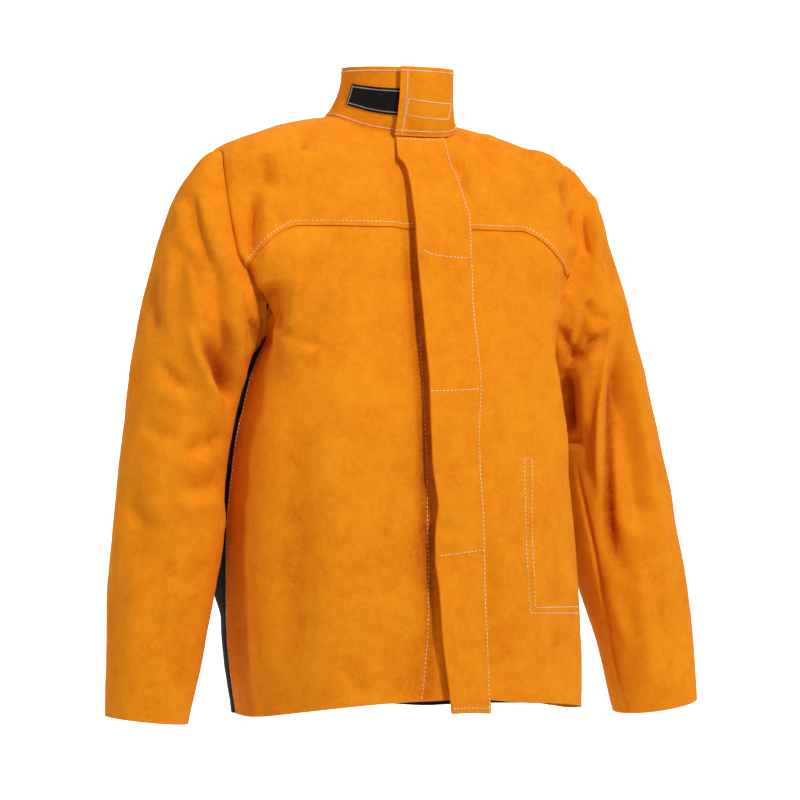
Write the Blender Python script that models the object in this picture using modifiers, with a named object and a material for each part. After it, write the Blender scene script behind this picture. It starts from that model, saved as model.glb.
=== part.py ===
"""A welder's jacket of split leather with a cotton back, as it hangs when worn.

Metres, +Z up. The wearer faces -Y and the wearer's left is +X. The origin lies midway
between the shoulders, level with the points where the collar meets the shoulder line.
Every panel is an open grid laid on one shared garment surface and thickened inwards.
"""

import math

import bmesh
import bpy
import numpy as np
from mathutils import Vector

# Driving sizes of the body
BODY_LENGTH = 0.705
HALF_WIDTH = 0.210
FRONT_DEPTH = 0.160
BACK_DEPTH = 0.145
SHOULDER_HALF = 0.231
NECK_HALF = 0.080
NECK_SET_BACK = 0.038

# Driving sizes of the sleeves
ARMHOLE_DEPTH = 0.262
ARMHOLE_WIDTH = 0.122
SLEEVE_REACH = 0.343
SLEEVE_DROP = 0.712
SLEEVE_HALF = 0.066

# Driving sizes of the collar and the front closure
COLLAR_HEIGHT = 0.062
COLLAR_FRONT_DIP = 0.004
COLLAR_HALF = 0.0665
COLLAR_SET_BACK = 0.019
FLAP_FREE_EDGE = 0.024
FLAP_SEWN_EDGE = 0.042
UNDER_EDGE = 0.030
CLOSING_STEP = 0.0038
CLOSING_ZONE = (0.03, 0.09)
VALLEY_DEPTH = 0.009
YOKE_DROP = 0.128
YOKE_DIP = 0.058
BACK_YOKE_DROP = 0.165
LEFT_SEAM_BEND = 0.64
LEFT_SEAM_SAG = (0.006, 0.006)
RIGHT_SEAM_BEND = 0.88
RIGHT_SEAM_SAG = (0.000, 0.010)
SIDE_SEAM_ANGLE = 97.0
RIGHT_SHOULDER_LIFT = 0.008
LEFT_SHOULDER_IN = 0.009
LEFT_HEM_SAG = 0.008
SHOULDER_ZONE = (-0.20, 0.12)
LIFT_PLACE = (-0.62, 0.30)
INSET_FROM = (0.50, 0.45)
INSET_ZONE = (-0.32, 0.16)
SAG_ACROSS = 0.50
SAG_FROM = (0.60, 0.40)

# Walls and clearances
LEATHER = 0.0016
COTTON = 0.0011
COLLAR_WALL = 0.0030
TAPE = 0.0014
SEAM_GAP = 0.0016
HALF_GAP = SEAM_GAP / 2
ARMHOLE_GAP = 0.0020
SEAT_GAP = 0.0008

# Small pieces
TAPE_WIDTH = 0.025
TAPE_RISE = 0.016
HOOK_START = -75.0
HOOK_END = 12.0
LOOP_START = -14.0
LOOP_END = 42.0
COLLAR_UNDER_END = 24.0
COLLAR_FLAP_END = -21.0
COLLAR_LIFT = 0.026
COLLAR_FLARE = 2.4
COLLAR_LAP_START = -285.0
COLLAR_LAP_EASE = 45.0
FLAP_TOP_DROP = 0.026
FLAP_OVERHANG = 0.016
FLAP_GAP = 0.0012
SNAP_GAP = 0.0008
POCKET_GAP = 0.0015
SNAP_RADIUS = 0.0070
SNAP_COUNT = 6
SNAP_FIRST_DROP = 0.060
SNAP_LAST_DROP = BODY_LENGTH - 0.065
POCKET_FRONT_EDGE = 0.105
POCKET_TOP_DROP = 0.405
POCKET_BOTTOM_DROP = 0.585

# Each level of the body, hem first. Drops are shares of BODY_LENGTH, the width is a share
# of HALF_WIDTH, the depths of FRONT_DEPTH and BACK_DEPTH, the sway of HALF_WIDTH and the
# set-back of NECK_SET_BACK. Square is the power of the rounded section.
LEVEL_COLUMNS = (
    "drop_front", "drop_side", "drop_back", "width", "front", "back", "square", "sway", "set_back",
)
LEVELS = (
    (0.965, 1.000, 1.010, 1.00, 1.00, 0.93, 2.7, 0.012, 0.0),
    (0.870, 0.870, 0.870, 1.03, 0.95, 1.00, 2.7, -0.010, 0.0),
    (0.700, 0.700, 0.700, 1.02, 0.91, 0.96, 2.6, -0.030, 0.0),
    (0.550, 0.550, 0.550, 0.98, 0.86, 0.93, 2.5, -0.035, 0.0),
    (0.440, 0.440, 0.440, 0.92, 0.77, 0.92, 2.4, -0.010, 0.0),
    (0.340, 0.340, 0.340, 0.88, 0.67, 0.91, 2.4, 0.000, 0.0),
    (0.240, 0.240, 0.240, 0.90, 0.60, 0.87, 2.3, 0.000, 0.05),
    (0.160, 0.140, 0.130, 0.96, 0.52, 0.80, 2.2, 0.000, 0.20),
    (0.105, 0.066, 0.050, 1.10, 0.455, 0.70, 2.1, 0.000, 0.42),
    (0.062, 0.029, 0.010, 0.74, 0.445, 0.56, 2.0, 0.000, 0.75),
    (0.026, 0.000, -0.020, 0.385, 0.425, 0.425, 2.0, 0.000, 1.00),
)
SHOULDER_LEVEL = 8
NECK_LEVEL = 10

# The seam line of an armhole, clockwise from the top on the wearer's left. Outward is a
# share of SHOULDER_HALF, depth of ARMHOLE_WIDTH (back positive), drop of ARMHOLE_DEPTH.
ARMHOLE_COLUMNS = ("outward", "depth", "drop")
ARMHOLE = (
    (1.000, 0.13, 0.180),
    (1.012, -0.09, 0.350),
    (1.008, -0.23, 0.535),
    (0.980, -0.33, 0.715),
    (0.880, -0.22, 0.890),
    (0.765, 0.04, 1.000),
    (0.820, 0.42, 0.930),
    (0.925, 0.65, 0.740),
    (0.985, 0.62, 0.530),
    (1.008, 0.45, 0.310),
)
YOKE_ARC = (3, 8)
PIT_POINT = 5
PULL_REACH = 0.085

# How a sleeve takes over from the armhole, in shares of its length, and how its columns spread
HEAD_SHARE = 0.22
EVEN_FROM = 0.50
ROW_CROWDING = 1.2
ARMHOLE_SQUASH = 1.1

# The sleeves' sections from the shoulder to the cuff. Outer and inner are the places of the
# two edges as shares of SLEEVE_REACH, with their drops as shares of SLEEVE_DROP; set-back is
# the middle's place along Y and deep is the half depth, as shares of SLEEVE_HALF.
SLEEVE_COLUMNS = ("outer", "outer_drop", "inner", "inner_drop", "set_back", "deep")
LEFT_SLEEVE = (
    (0.650, 0.074, 0.530, 0.368, 0.30, 0.98),
    (0.724, 0.094, 0.546, 0.385, 0.31, 1.08),
    (0.780, 0.130, 0.562, 0.402, 0.34, 1.13),
    (0.820, 0.185, 0.576, 0.420, 0.37, 1.13),
    (0.882, 0.262, 0.592, 0.440, 0.40, 1.10),
    (0.942, 0.350, 0.614, 0.465, 0.43, 1.06),
    (0.996, 0.430, 0.640, 0.510, 0.45, 1.02),
    (1.044, 0.520, 0.665, 0.570, 0.44, 0.99),
    (1.087, 0.610, 0.685, 0.640, 0.40, 0.99),
    (1.119, 0.700, 0.705, 0.712, 0.34, 1.00),
    (1.148, 0.790, 0.740, 0.790, 0.24, 0.95),
    (1.168, 0.895, 0.802, 0.895, 0.12, 0.87),
    (1.168, 0.995, 0.862, 1.018, 0.00, 0.79),
)
RIGHT_SLEEVE = (
    (0.676, 0.066, 0.530, 0.368, 0.30, 0.98),
    (0.752, 0.090, 0.546, 0.385, 0.31, 1.08),
    (0.806, 0.127, 0.562, 0.402, 0.34, 1.13),
    (0.851, 0.185, 0.572, 0.420, 0.37, 1.13),
    (0.899, 0.262, 0.580, 0.440, 0.40, 1.10),
    (0.942, 0.350, 0.594, 0.465, 0.43, 1.06),
    (0.969, 0.430, 0.614, 0.510, 0.45, 1.02),
    (0.993, 0.520, 0.638, 0.570, 0.44, 0.99),
    (1.018, 0.610, 0.655, 0.640, 0.40, 0.99),
    (1.040, 0.700, 0.664, 0.712, 0.34, 1.00),
    (1.064, 0.790, 0.703, 0.790, 0.24, 0.95),
    (1.076, 0.890, 0.754, 0.895, 0.12, 0.87),
    (1.090, 0.981, 0.811, 0.996, 0.00, 0.79),
)

# The free edge of the front flap: its place as a share of FLAP_FREE_EDGE, and how far the
# two layers part there as a share of CLOSING_STEP, at drops that are shares of BODY_LENGTH.
FLAP_EDGE_COLUMNS = ("drop", "place", "lift")
FLAP_EDGE = (
    (0.00, 0.92, 0.2),
    (0.18, 1.12, 1.0),
    (0.46, 1.05, 0.5),
    (0.62, 0.96, 0.7),
    (0.73, 1.14, 0.4),
    (0.90, 0.90, 0.9),
    (1.05, 0.72, 1.4),
)

# The dip beside the flap, where the lower front turns in under it: its middle and half
# width as shares of FLAP_SEWN_EDGE.
DIP_COLUMNS = ("drop", "middle", "half")
DIP = (
    (0.00, 0.70, 0.30),
    (0.30, 0.76, 0.30),
    (0.60, 0.84, 0.36),
    (0.85, 1.00, 0.50),
    (1.05, 1.18, 0.62),
)

# Main folds of the body: angle round the body in degrees and drop as a share of
# BODY_LENGTH at each end, half width and height as shares of FOLD (ridges are positive).
FOLD = 0.020
BODY_FOLD_COLUMNS = ("angle_a", "drop_a", "angle_b", "drop_b", "half", "height")
BODY_FOLDS = (
    (-66, 0.21, -70, 0.43, 0.80, 0.65),
    (-78, 0.25, -83, 0.39, 0.70, -0.70),
    (-78, 0.09, -76, 0.24, 0.55, -0.38),
    (64, 0.17, 63, 0.60, 0.85, 0.45),
    (75, 0.22, 82, 0.37, 0.70, -0.65),
    (48, 0.07, 58, 0.17, 0.60, -0.22),
    (-54, 0.50, -52, 0.98, 1.10, 0.22),
    (-30, 0.62, -26, 1.02, 1.40, -0.15),
    (-80, 0.52, -84, 0.95, 1.20, -0.22),
    (34, 0.55, 36, 1.02, 1.60, 0.15),
    (112, 0.45, 116, 1.03, 0.95, -0.40),
    (132, 0.40, 134, 1.03, 1.00, 0.40),
    (153, 0.45, 150, 1.03, 1.00, -0.42),
    (176, 0.38, 178, 1.03, 1.00, 0.40),
    (202, 0.45, 204, 1.03, 1.00, -0.42),
    (226, 0.40, 224, 1.03, 1.00, 0.42),
    (246, 0.46, 243, 1.03, 0.95, -0.40),
    (255, 0.60, 253, 0.82, 1.00, 0.55),
)

# Main folds of the sleeves: angle round the sleeve in degrees (0 outside, 90 in front, 180
# inside, 270 behind), share of the sleeve's length, half width and height in shares of FOLD.
SLEEVE_FOLD_COLUMNS = ("angle_a", "along_a", "angle_b", "along_b", "half", "height")
RIGHT_SLEEVE_FOLDS = (
    (70, 0.24, 132, 0.50, 0.90, -0.55),
    (52, 0.28, 112, 0.55, 0.80, 0.32),
    (118, 0.16, 140, 0.32, 0.80, -0.30),
    (30, 0.22, 42, 0.42, 0.75, -0.32),
    (20, 0.66, 48, 0.80, 1.00, -0.30),
    (80, 0.62, 150, 0.72, 1.10, 0.22),
    (250, 0.30, 200, 0.45, 0.80, -0.40),
    (300, 0.55, 240, 0.66, 0.90, -0.35),
)
LEFT_SLEEVE_FOLDS = (
    (84, 0.36, 96, 0.74, 0.85, -0.75),
    (62, 0.28, 80, 0.80, 0.85, 0.30),
    (116, 0.30, 122, 0.66, 0.80, 0.35),
    (104, 0.20, 150, 0.34, 0.80, -0.38),
    (60, 0.84, 80, 0.98, 0.85, -0.20),
    (250, 0.30, 200, 0.45, 0.80, -0.40),
    (300, 0.55, 240, 0.66, 0.90, -0.35),
)

# Grid counts: cells along each stretch
FRONT_CELLS = 11
SIDE_ROWS = 15
ARM_ROWS = 5
YOKE_ARCH_CELLS = 12
BACK_CELLS = 14
BACK_NECK_CELLS = 8
SHOULDER_CELLS = 5
YOKE_ROWS = 6
SLEEVE_ROWS = 24
COLLAR_CELLS = 44
COLLAR_ROWS = 3
FLAP_CELLS = 3
FLAP_ROWS = 30
LOOP_SAMPLES = 240
SHOULDER_LINE_ANGLE = 92.0
LEVEL_SPREAD = 0.045


def column(table, names, name):
    return np.array([row[names.index(name)] for row in table], float)


def spline(p0, p1, p2, p3, f):
    """Catmull-Rom value a fraction f of the way from p1 to p2."""
    bend = 2 * p0 - 5 * p1 + 4 * p2 - p3
    return 0.5 * (2 * p1 + (p2 - p0) * f + bend * f**2 + (3 * p1 - p0 - 3 * p2 + p3) * f**3)


def smooth_at(values, at):
    """Smooth value of evenly indexed values at fractional indices."""
    values = np.asarray(values, float)
    at = np.clip(np.asarray(at, float), 0, len(values) - 1)
    i = np.clip(np.floor(at).astype(int), 0, len(values) - 2)
    f = at - i
    p0, p1 = values[np.maximum(i - 1, 0)], values[i]
    p2, p3 = values[i + 1], values[np.minimum(i + 2, len(values) - 1)]
    return spline(p0, p1, p2, p3, f)


def closed_smooth_at(values, at):
    """The same on a closed ring of values."""
    values = np.asarray(values, float)
    count = len(values)
    i = np.floor(at).astype(int)
    f = at - i
    p0, p1, p2, p3 = (values[(i + k) % count] for k in (-1, 0, 1, 2))
    return spline(p0, p1, p2, p3, f)


def ramp(x):
    x = np.clip(x, 0, 1)
    return x * x * (3 - 2 * x)


def eased(value, zone):
    """From 0 to 1 over a zone given by its start and its length."""
    return ramp((value - zone[0]) / zone[1])


def table_at(table, names, name, drop):
    """A column of a table whose first column is a share of BODY_LENGTH, at real drops."""
    return np.interp(drop / BODY_LENGTH, column(table, names, "drop"), column(table, names, name))


def level_values(level):
    return {name: smooth_at(column(LEVELS, LEVEL_COLUMNS, name), level) for name in LEVEL_COLUMNS}


def bare_body(angle, level):
    """The plain garment surface: angle in degrees round the body from the front, and level."""
    v = level_values(level)
    turn = np.radians(angle)
    side, fore = np.sin(turn), np.cos(turn)
    half = v["width"] * HALF_WIDTH
    depth = np.where(fore > 0, v["front"] * FRONT_DEPTH, v["back"] * BACK_DEPTH)
    power = v["square"]
    radius = ((np.abs(side) / half) ** power + (np.abs(fore) / depth) ** power) ** (-1 / power)
    end_drop = np.where(fore > 0, v["drop_front"], v["drop_back"])
    drop = v["drop_side"] + (end_drop - v["drop_side"]) * ramp(np.abs(fore))
    x = v["sway"] * HALF_WIDTH + radius * side
    y = v["set_back"] * NECK_SET_BACK - radius * fore
    return np.stack([x, y, -drop * BODY_LENGTH], axis=-1)


def level_of(angle, drop, top=NECK_LEVEL):
    """The level at which the plain surface, at that angle, lies that far below the origin."""
    levels = np.linspace(0, top, 121)
    heights = bare_body(float(angle), levels)[:, 2]
    return float(np.interp(-drop, heights, levels))


def angle_across(across, level):
    """The angle of the front at a distance across from the middle, at that level."""
    v = level_values(level)
    half, depth = v["width"] * HALF_WIDTH, v["front"] * FRONT_DEPTH
    x = across - v["sway"] * HALF_WIDTH
    y = depth * (1 - (abs(x) / half) ** v["square"]) ** (1 / v["square"])
    return math.degrees(math.atan2(x, y))


def angle_at(across, drop):
    return angle_across(across, level_of(0.0, drop))


def armhole_points(at):
    outward = closed_smooth_at(column(ARMHOLE, ARMHOLE_COLUMNS, "outward"), at) * SHOULDER_HALF
    depth = closed_smooth_at(column(ARMHOLE, ARMHOLE_COLUMNS, "depth"), at) * ARMHOLE_WIDTH
    drop = closed_smooth_at(column(ARMHOLE, ARMHOLE_COLUMNS, "drop"), at) * ARMHOLE_DEPTH
    return np.stack([outward, depth, -drop], axis=-1)


def armhole_places(at):
    """Where the armhole's points lie on the plain surface, as angle and level."""
    points = armhole_points(at)
    places = []
    for x, y, z in points:
        level = 6.0
        for _ in range(6):
            v = level_values(level)
            angle = math.degrees(math.atan2(x, v["set_back"] * NECK_SET_BACK - y))
            level = level_of(angle, -z, SHOULDER_LEVEL)
        places.append((angle, level))
    return np.array(places)


LOOP_AT = np.linspace(0, len(ARMHOLE), LOOP_SAMPLES, endpoint=False)
LOOP_POINTS = armhole_points(LOOP_AT)
LOOP_PLACES = armhole_places(LOOP_AT)
LOOP_PULL = LOOP_POINTS - bare_body(LOOP_PLACES[:, 0], LOOP_PLACES[:, 1])


def armhole_pull(angle, drop):
    """How the armhole seams draw the surface out towards them, for angles of either side."""
    wrapped = (np.asarray(angle) + 180) % 360 - 180
    sign = np.where(wrapped >= 0, 1.0, -1.0)
    across = np.radians(np.abs(wrapped)[..., None] - LOOP_PLACES[:, 0]) * HALF_WIDTH
    down = np.asarray(drop)[..., None] + LOOP_POINTS[:, 2]
    away = np.sqrt(across**2 + down**2)
    share = 1 / (away**2 + 1e-7) ** 2
    pull = (share @ LOOP_PULL) / share.sum(-1)[..., None]
    pull = pull * (1 - ramp(away.min(-1) / PULL_REACH))[..., None]
    pull[..., 0] = pull[..., 0] * sign
    return pull


def stroke(across, along, row, half, length):
    """A soft ridge or valley round the line between two places, thinning out at its ends."""
    a = np.array(row[0:2]) * length
    b = np.array(row[2:4]) * length
    line = b - a
    size = math.hypot(*line)
    share = ((across - a[0]) * line[0] + (along - a[1]) * line[1]) / size**2
    off = ((across - a[0]) * line[1] - (along - a[1]) * line[0]) / size
    ends = ramp((share + 0.12) / 0.3) * ramp((1.12 - share) / 0.3)
    return np.exp(-((off / half) ** 2)) * ends


def body_folds(angle, drop):
    wrapped = np.where(angle < -105, angle + 360, angle)
    total = np.zeros(np.broadcast(angle, drop).shape)
    for row in BODY_FOLDS:
        length = np.array([math.radians(1) * HALF_WIDTH * 0.85, BODY_LENGTH])
        total += row[5] * FOLD * stroke(
            wrapped * length[0], drop, row, row[4] * FOLD, length
        )
    return total


def outward(surface, a, b):
    """Unit normals of a surface function, by small differences."""
    step_a, step_b = 0.25, 0.01
    along_a = surface(a + step_a, b) - surface(a - step_a, b)
    along_b = surface(a, b + step_b) - surface(a, b - step_b)
    normal = np.cross(along_a, along_b)
    return normal / np.linalg.norm(normal, axis=-1)[..., None]


def closing_dip(across, drop):
    """How far the lower front lies behind the upper one, beside and under the flap."""
    middle = -table_at(DIP, DIP_COLUMNS, "middle", drop) * FLAP_SEWN_EDGE
    half = table_at(DIP, DIP_COLUMNS, "half", drop) * FLAP_SEWN_EDGE
    hidden = ramp((across - middle) / (FLAP_FREE_EDGE * 0.8))
    valley = VALLEY_DEPTH * np.exp(-(((across - middle) / half) ** 2))
    return -(CLOSING_STEP * hidden + valley) * eased(drop / BODY_LENGTH, CLOSING_ZONE)


def pulled_body(angle, level):
    plain = bare_body(angle, level)
    return plain + armhole_pull(angle, -plain[..., 2])


def settled(points):
    """The set of the shoulders and the hem, uneven from one side to the other."""
    x, z = points[..., 0], points[..., 2]
    moved = points.copy()
    near_top = np.exp(-(((x / SHOULDER_HALF - LIFT_PLACE[0]) / LIFT_PLACE[1]) ** 2))
    moved[..., 2] += RIGHT_SHOULDER_LIFT * near_top * eased(z, SHOULDER_ZONE)
    moved[..., 0] -= LEFT_SHOULDER_IN * eased(x / SHOULDER_HALF, INSET_FROM) * eased(z, INSET_ZONE)
    moved[..., 2] -= LEFT_HEM_SAG * ramp(x / HALF_WIDTH / SAG_ACROSS) * eased(-z / BODY_LENGTH, SAG_FROM)
    return moved


def body(angle, level, lower_front=False):
    """The finished outer surface of the body, with its folds."""
    angle = np.asarray(angle, float)
    level = np.asarray(level, float)
    surface = pulled_body(angle, level)
    drop = -surface[..., 2]
    rise = body_folds(angle, drop)
    if lower_front:
        front = (np.abs(angle) < 60)
        rise = rise + np.where(front, closing_dip(surface[..., 0], drop), 0.0)
    return settled(surface + outward(pulled_body, angle, level) * rise[..., None])


def patch(bottom, top, left, right):
    """Coons patch through four edges of places; bottom and top run left to right."""
    u = np.linspace(0, 1, len(bottom))[None, :, None]
    v = np.linspace(0, 1, len(left))[:, None, None]
    ruled_v = (1 - v) * bottom[None] + v * top[None]
    ruled_u = (1 - u) * left[:, None] + u * right[:, None]
    corners = (
        (1 - u) * (1 - v) * bottom[0] + u * (1 - v) * bottom[-1] + (1 - u) * v * top[0] + u * v * top[-1]
    )
    return ruled_v + ruled_u - corners


def drawn_in(points, sides, gap):
    """The grid with the edges on the named sides moved in, to leave room for the seams."""
    points = points.copy()
    for side in sides:
        edge, inner = {
            "left": (np.s_[:, 0], np.s_[:, 1]),
            "right": (np.s_[:, -1], np.s_[:, -2]),
            "bottom": (np.s_[0], np.s_[1]),
            "top": (np.s_[-1], np.s_[-2]),
        }[side]
        step = points[inner] - points[edge]
        points[edge] = points[edge] + step / np.linalg.norm(step, axis=-1)[..., None] * gap
    return points


def loop_stretch(first, last, count):
    """Places (angle, level) evenly along the armhole seam between two of its points."""
    at = np.linspace(first, last, 200)
    points = armhole_points(at % len(ARMHOLE))
    steps = np.linalg.norm(np.diff(points, axis=0), axis=1)
    along = np.concatenate([[0], np.cumsum(steps)])
    even = np.interp(np.linspace(0, along[-1], count + 1), along, at)
    return even % len(ARMHOLE)


YOKE_LOOP = loop_stretch(YOKE_ARC[1], YOKE_ARC[0] + len(ARMHOLE), YOKE_ARCH_CELLS)[::-1]
FRONT_LOOP = loop_stretch(YOKE_ARC[0], PIT_POINT, ARM_ROWS)[::-1]
BACK_LOOP = loop_stretch(PIT_POINT, YOKE_ARC[1], ARM_ROWS)


def seam_drop(share, sign):
    """The drop of the front yoke seam, by the share of the way from the middle to the arm.

    It sags by a little at the middle and at the arm, and falls off beyond the bend.
    """
    bend = LEFT_SEAM_BEND if sign > 0 else RIGHT_SEAM_BEND
    middle, outer = LEFT_SEAM_SAG if sign > 0 else RIGHT_SEAM_SAG
    sag = middle + (outer - middle) * share
    return YOKE_DROP + sag + (YOKE_DIP - outer) * ramp((share - bend) / (1 - bend))


def front_seam(edge_across, sign):
    """Places of the front yoke seam, from the middle edge to the armhole."""
    corner = armhole_places(np.array([float(YOKE_ARC[0])]))[0]
    start = angle_at(edge_across, YOKE_DROP) * sign
    share = np.linspace(0, 1, 60)
    angles = start + (corner[0] - start) * share
    drops = seam_drop(share, sign)
    drops = drops + (-armhole_points(np.array([float(YOKE_ARC[0])]))[0, 2] - drops[-1]) * ramp(share)
    places = np.array([(a, level_of(a, d)) for a, d in zip(angles, drops)])
    places[-1] = corner
    points = pulled_body(places[:, 0], places[:, 1])
    steps = np.concatenate([[0], np.cumsum(np.linalg.norm(np.diff(points, axis=0), axis=1))])
    at = np.interp(np.linspace(0, steps[-1], FRONT_CELLS + 1), steps, share)
    even = np.stack([np.interp(at, share, places[:, k]) for k in range(2)], axis=1)
    even[:, 0] *= sign
    return even


def back_seam(cells):
    """Places of the back yoke seam, from the left armhole round to the right one."""
    corner = armhole_places(np.array([float(YOKE_ARC[1])]))[0]
    angles = np.linspace(corner[0], 360 - corner[0], cells + 1)
    near = np.abs(angles - 180) / (180 - corner[0])
    corner_drop = -armhole_points(np.array([float(YOKE_ARC[1])]))[0, 2]
    drops = BACK_YOKE_DROP + (corner_drop - BACK_YOKE_DROP) * ramp((near - 0.5) / 0.5)
    places = np.array([(a, level_of(a, d)) for a, d in zip(angles, drops)])
    places[0] = corner
    places[-1] = (360 - corner[0], corner[1])
    return places


def side_seam(sign):
    """Places of a side seam from the hem up to the armhole, then up its front edge."""
    pit = armhole_places(np.array([float(PIT_POINT)]))[0]
    share = np.linspace(0, 1, SIDE_ROWS + 1)
    angles = SIDE_SEAM_ANGLE + (pit[0] - SIDE_SEAM_ANGLE) * ramp(share)
    return np.stack([angles * sign, pit[1] * share], axis=1)


def front_panel(sign, edge_across, lower_front):
    """Grid points of a front, hem to yoke seam, middle edge to side seam."""
    arm = armhole_places(FRONT_LOOP)
    arm[:, 0] *= sign
    outer = np.concatenate([side_seam(sign), arm[1:]])
    top = front_seam(edge_across, sign)
    drops = np.linspace(BODY_LENGTH * LEVELS[0][0], YOKE_DROP, len(outer))
    inner = np.array([(angle_at(edge_across, d), level_of(0.0, d)) for d in drops])
    inner[0, 1] = 0.0
    inner[-1] = top[0]
    hem_angles = np.linspace(inner[0, 0], outer[0, 0], len(top))
    hem = np.stack([hem_angles, np.zeros(len(top))], axis=1)
    places = patch(hem, top, inner, outer)
    return body(places[..., 0], places[..., 1], lower_front)


def back_panel():
    """Grid points of the back, hem to yoke seam, left side seam to right side seam."""
    arm = armhole_places(BACK_LOOP)
    left = np.concatenate([side_seam(1), arm[1:]])
    right = np.stack([360 - left[:, 0], left[:, 1]], axis=1)
    top = back_seam(BACK_CELLS)
    hem_angles = np.linspace(left[0, 0], right[0, 0], len(top))
    hem = np.stack([hem_angles, np.zeros(len(top))], axis=1)
    places = patch(hem, top, left, right)
    return body(places[..., 0], places[..., 1])


def laid_flat(places):
    """Places on the upper body as seen from above the neck, for even grids round it."""
    reach = NECK_HALF + (NECK_LEVEL - places[..., 1]) * LEVEL_SPREAD
    turn = np.radians(places[..., 0])
    return np.stack([reach * np.sin(turn), reach * np.cos(turn)], axis=-1)


def lifted_back(flat):
    reach = np.hypot(flat[..., 0], flat[..., 1])
    level = NECK_LEVEL - (reach - NECK_HALF) / LEVEL_SPREAD
    angle = np.degrees(np.arctan2(flat[..., 0], flat[..., 1]))
    return np.stack([angle, np.minimum(level, NECK_LEVEL)], axis=-1)


def shoulder_line():
    """Places from the neck to the top of the armhole, on the wearer's left."""
    top = armhole_places(YOKE_LOOP[YOKE_ROWS:YOKE_ROWS + 1])[0]
    return np.linspace((SHOULDER_LINE_ANGLE, float(NECK_LEVEL)), top, SHOULDER_CELLS + 1)


def front_yoke(edge_across, sign):
    """Grid points of one front of the yoke, seam to shoulder line, middle to armhole."""
    seam = front_seam(edge_across, sign) * (sign, 1)
    arch = armhole_places(YOKE_LOOP[: YOKE_ROWS + 1])
    line = shoulder_line()
    middle = np.linspace(seam[0], (0, NECK_LEVEL), YOKE_ROWS + 1)
    middle[:, 0] = [angle_across(edge_across, level) * sign for level in middle[:, 1]]
    neck = np.linspace(middle[-1], line[0], FRONT_CELLS - SHOULDER_CELLS + 1)
    flat = [laid_flat(edge) for edge in (seam, np.concatenate([neck, line[1:]]), middle, arch)]
    places = lifted_back(patch(*flat)) * (sign, 1)
    return drawn_in(body(places[..., 0], places[..., 1], sign < 0), ("bottom", "right"), HALF_GAP)


def back_yoke():
    """Grid points of the back of the yoke, seam to shoulders and neck, left to right."""
    arch = armhole_places(YOKE_LOOP[YOKE_ROWS:])[::-1]
    line = shoulder_line()
    neck = np.linspace(line[0], (360 - line[0][0], NECK_LEVEL), BACK_NECK_CELLS + 1)
    far = lambda places: np.stack([360 - places[:, 0], places[:, 1]], axis=1)
    top = np.concatenate([line[::-1], neck[1:], far(line)[1:]])
    seam = back_seam(len(top) - 1)
    places = lifted_back(patch(*[laid_flat(edge) for edge in (seam, top, arch, far(arch))]))
    return drawn_in(body(places[..., 0], places[..., 1]), ("bottom", "left", "right"), HALF_GAP)


LEFT_EDGE = UNDER_EDGE + 0.004


def sleeve_frame(table, along):
    """Outer edge, inner edge, middle's set-back and half depth at shares of the length."""
    at = np.asarray(along) * (len(table) - 1)
    value = lambda name: smooth_at(column(table, SLEEVE_COLUMNS, name), at)
    outer = np.stack([value("outer") * SLEEVE_REACH, -value("outer_drop") * SLEEVE_DROP], axis=-1)
    inner = np.stack([value("inner") * SLEEVE_REACH, -value("inner_drop") * SLEEVE_DROP], axis=-1)
    return outer, inner, value("set_back") * SLEEVE_HALF, value("deep") * SLEEVE_HALF


def plain_sleeve(table, angle, along):
    """The sleeve without its folds, as on the wearer's left: 0 outside, 90 in front, 180 inside."""
    outer, inner, set_back, deep = sleeve_frame(table, along)
    turn = np.radians(angle)
    middle = (outer + inner) / 2
    arm = (outer - inner) / 2
    x = middle[..., 0] + arm[..., 0] * np.cos(turn)
    z = middle[..., 1] + arm[..., 1] * np.cos(turn)
    y = set_back - deep * np.sin(turn)
    return np.stack(np.broadcast_arrays(x, y, z), axis=-1)


def folded_sleeve(table, angle, along, folds):
    plain = plain_sleeve(table, angle, along)
    length = np.array([math.radians(1) * SLEEVE_HALF, SLEEVE_DROP])
    rise = np.zeros(plain.shape[:-1])
    for row in folds:
        for turn in (-360, 0, 360):
            across = (angle + turn) * length[0]
            rise += row[5] * FOLD * stroke(across, along * length[1], row, row[4] * FOLD, length)
    normal = outward(lambda a, b: plain_sleeve(table, a, b), angle, along)
    return plain + normal * rise[..., None]


def sleeve_grid(table, sign, folds):
    """Grid points of a sleeve: rows from the armhole to the cuff, columns round it."""
    # The seam runs front corner, top, back corner, pit and back to the front corner.
    order = np.concatenate([YOKE_LOOP[:-1], BACK_LOOP[::-1][:-1], FRONT_LOOP[:-1]])
    places = armhole_places(order)
    ring = body(places[:, 0] * sign, places[:, 1])
    ring[:, 0] *= sign
    centre = ring.mean(0)
    top, pit = armhole_points(np.array([0.0, float(PIT_POINT)]))
    axis = (top - pit) / np.linalg.norm(top - pit)
    rel = ring - (top + pit) / 2
    squash = ARMHOLE_WIDTH / ARMHOLE_DEPTH * ARMHOLE_SQUASH
    angle = np.degrees(np.arctan2(-rel[:, 1] + centre[1], rel @ axis * squash))
    angle = np.unwrap(angle, period=360)
    even = angle[0] + np.sign(angle[-1] - angle[0]) * np.linspace(0, 360, len(ring), endpoint=False)
    along = np.linspace(0, 1, SLEEVE_ROWS + 1) ** ROW_CROWDING
    rows = []
    for share in along:
        mix = ramp(share / EVEN_FROM)
        at = angle * (1 - mix) + even * mix
        points = folded_sleeve(table, at, np.full(len(at), share), folds)
        hold = 1 - ramp(share / HEAD_SHARE)
        base = plain_sleeve(table, angle, np.zeros(len(at)))
        rows.append(points + (ring - base) * hold)
    points = np.array(rows)
    step = points[1] - points[0]
    points[0] += step / np.linalg.norm(step, axis=-1)[:, None] * ARMHOLE_GAP
    points[..., 0] *= sign
    return points


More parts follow.
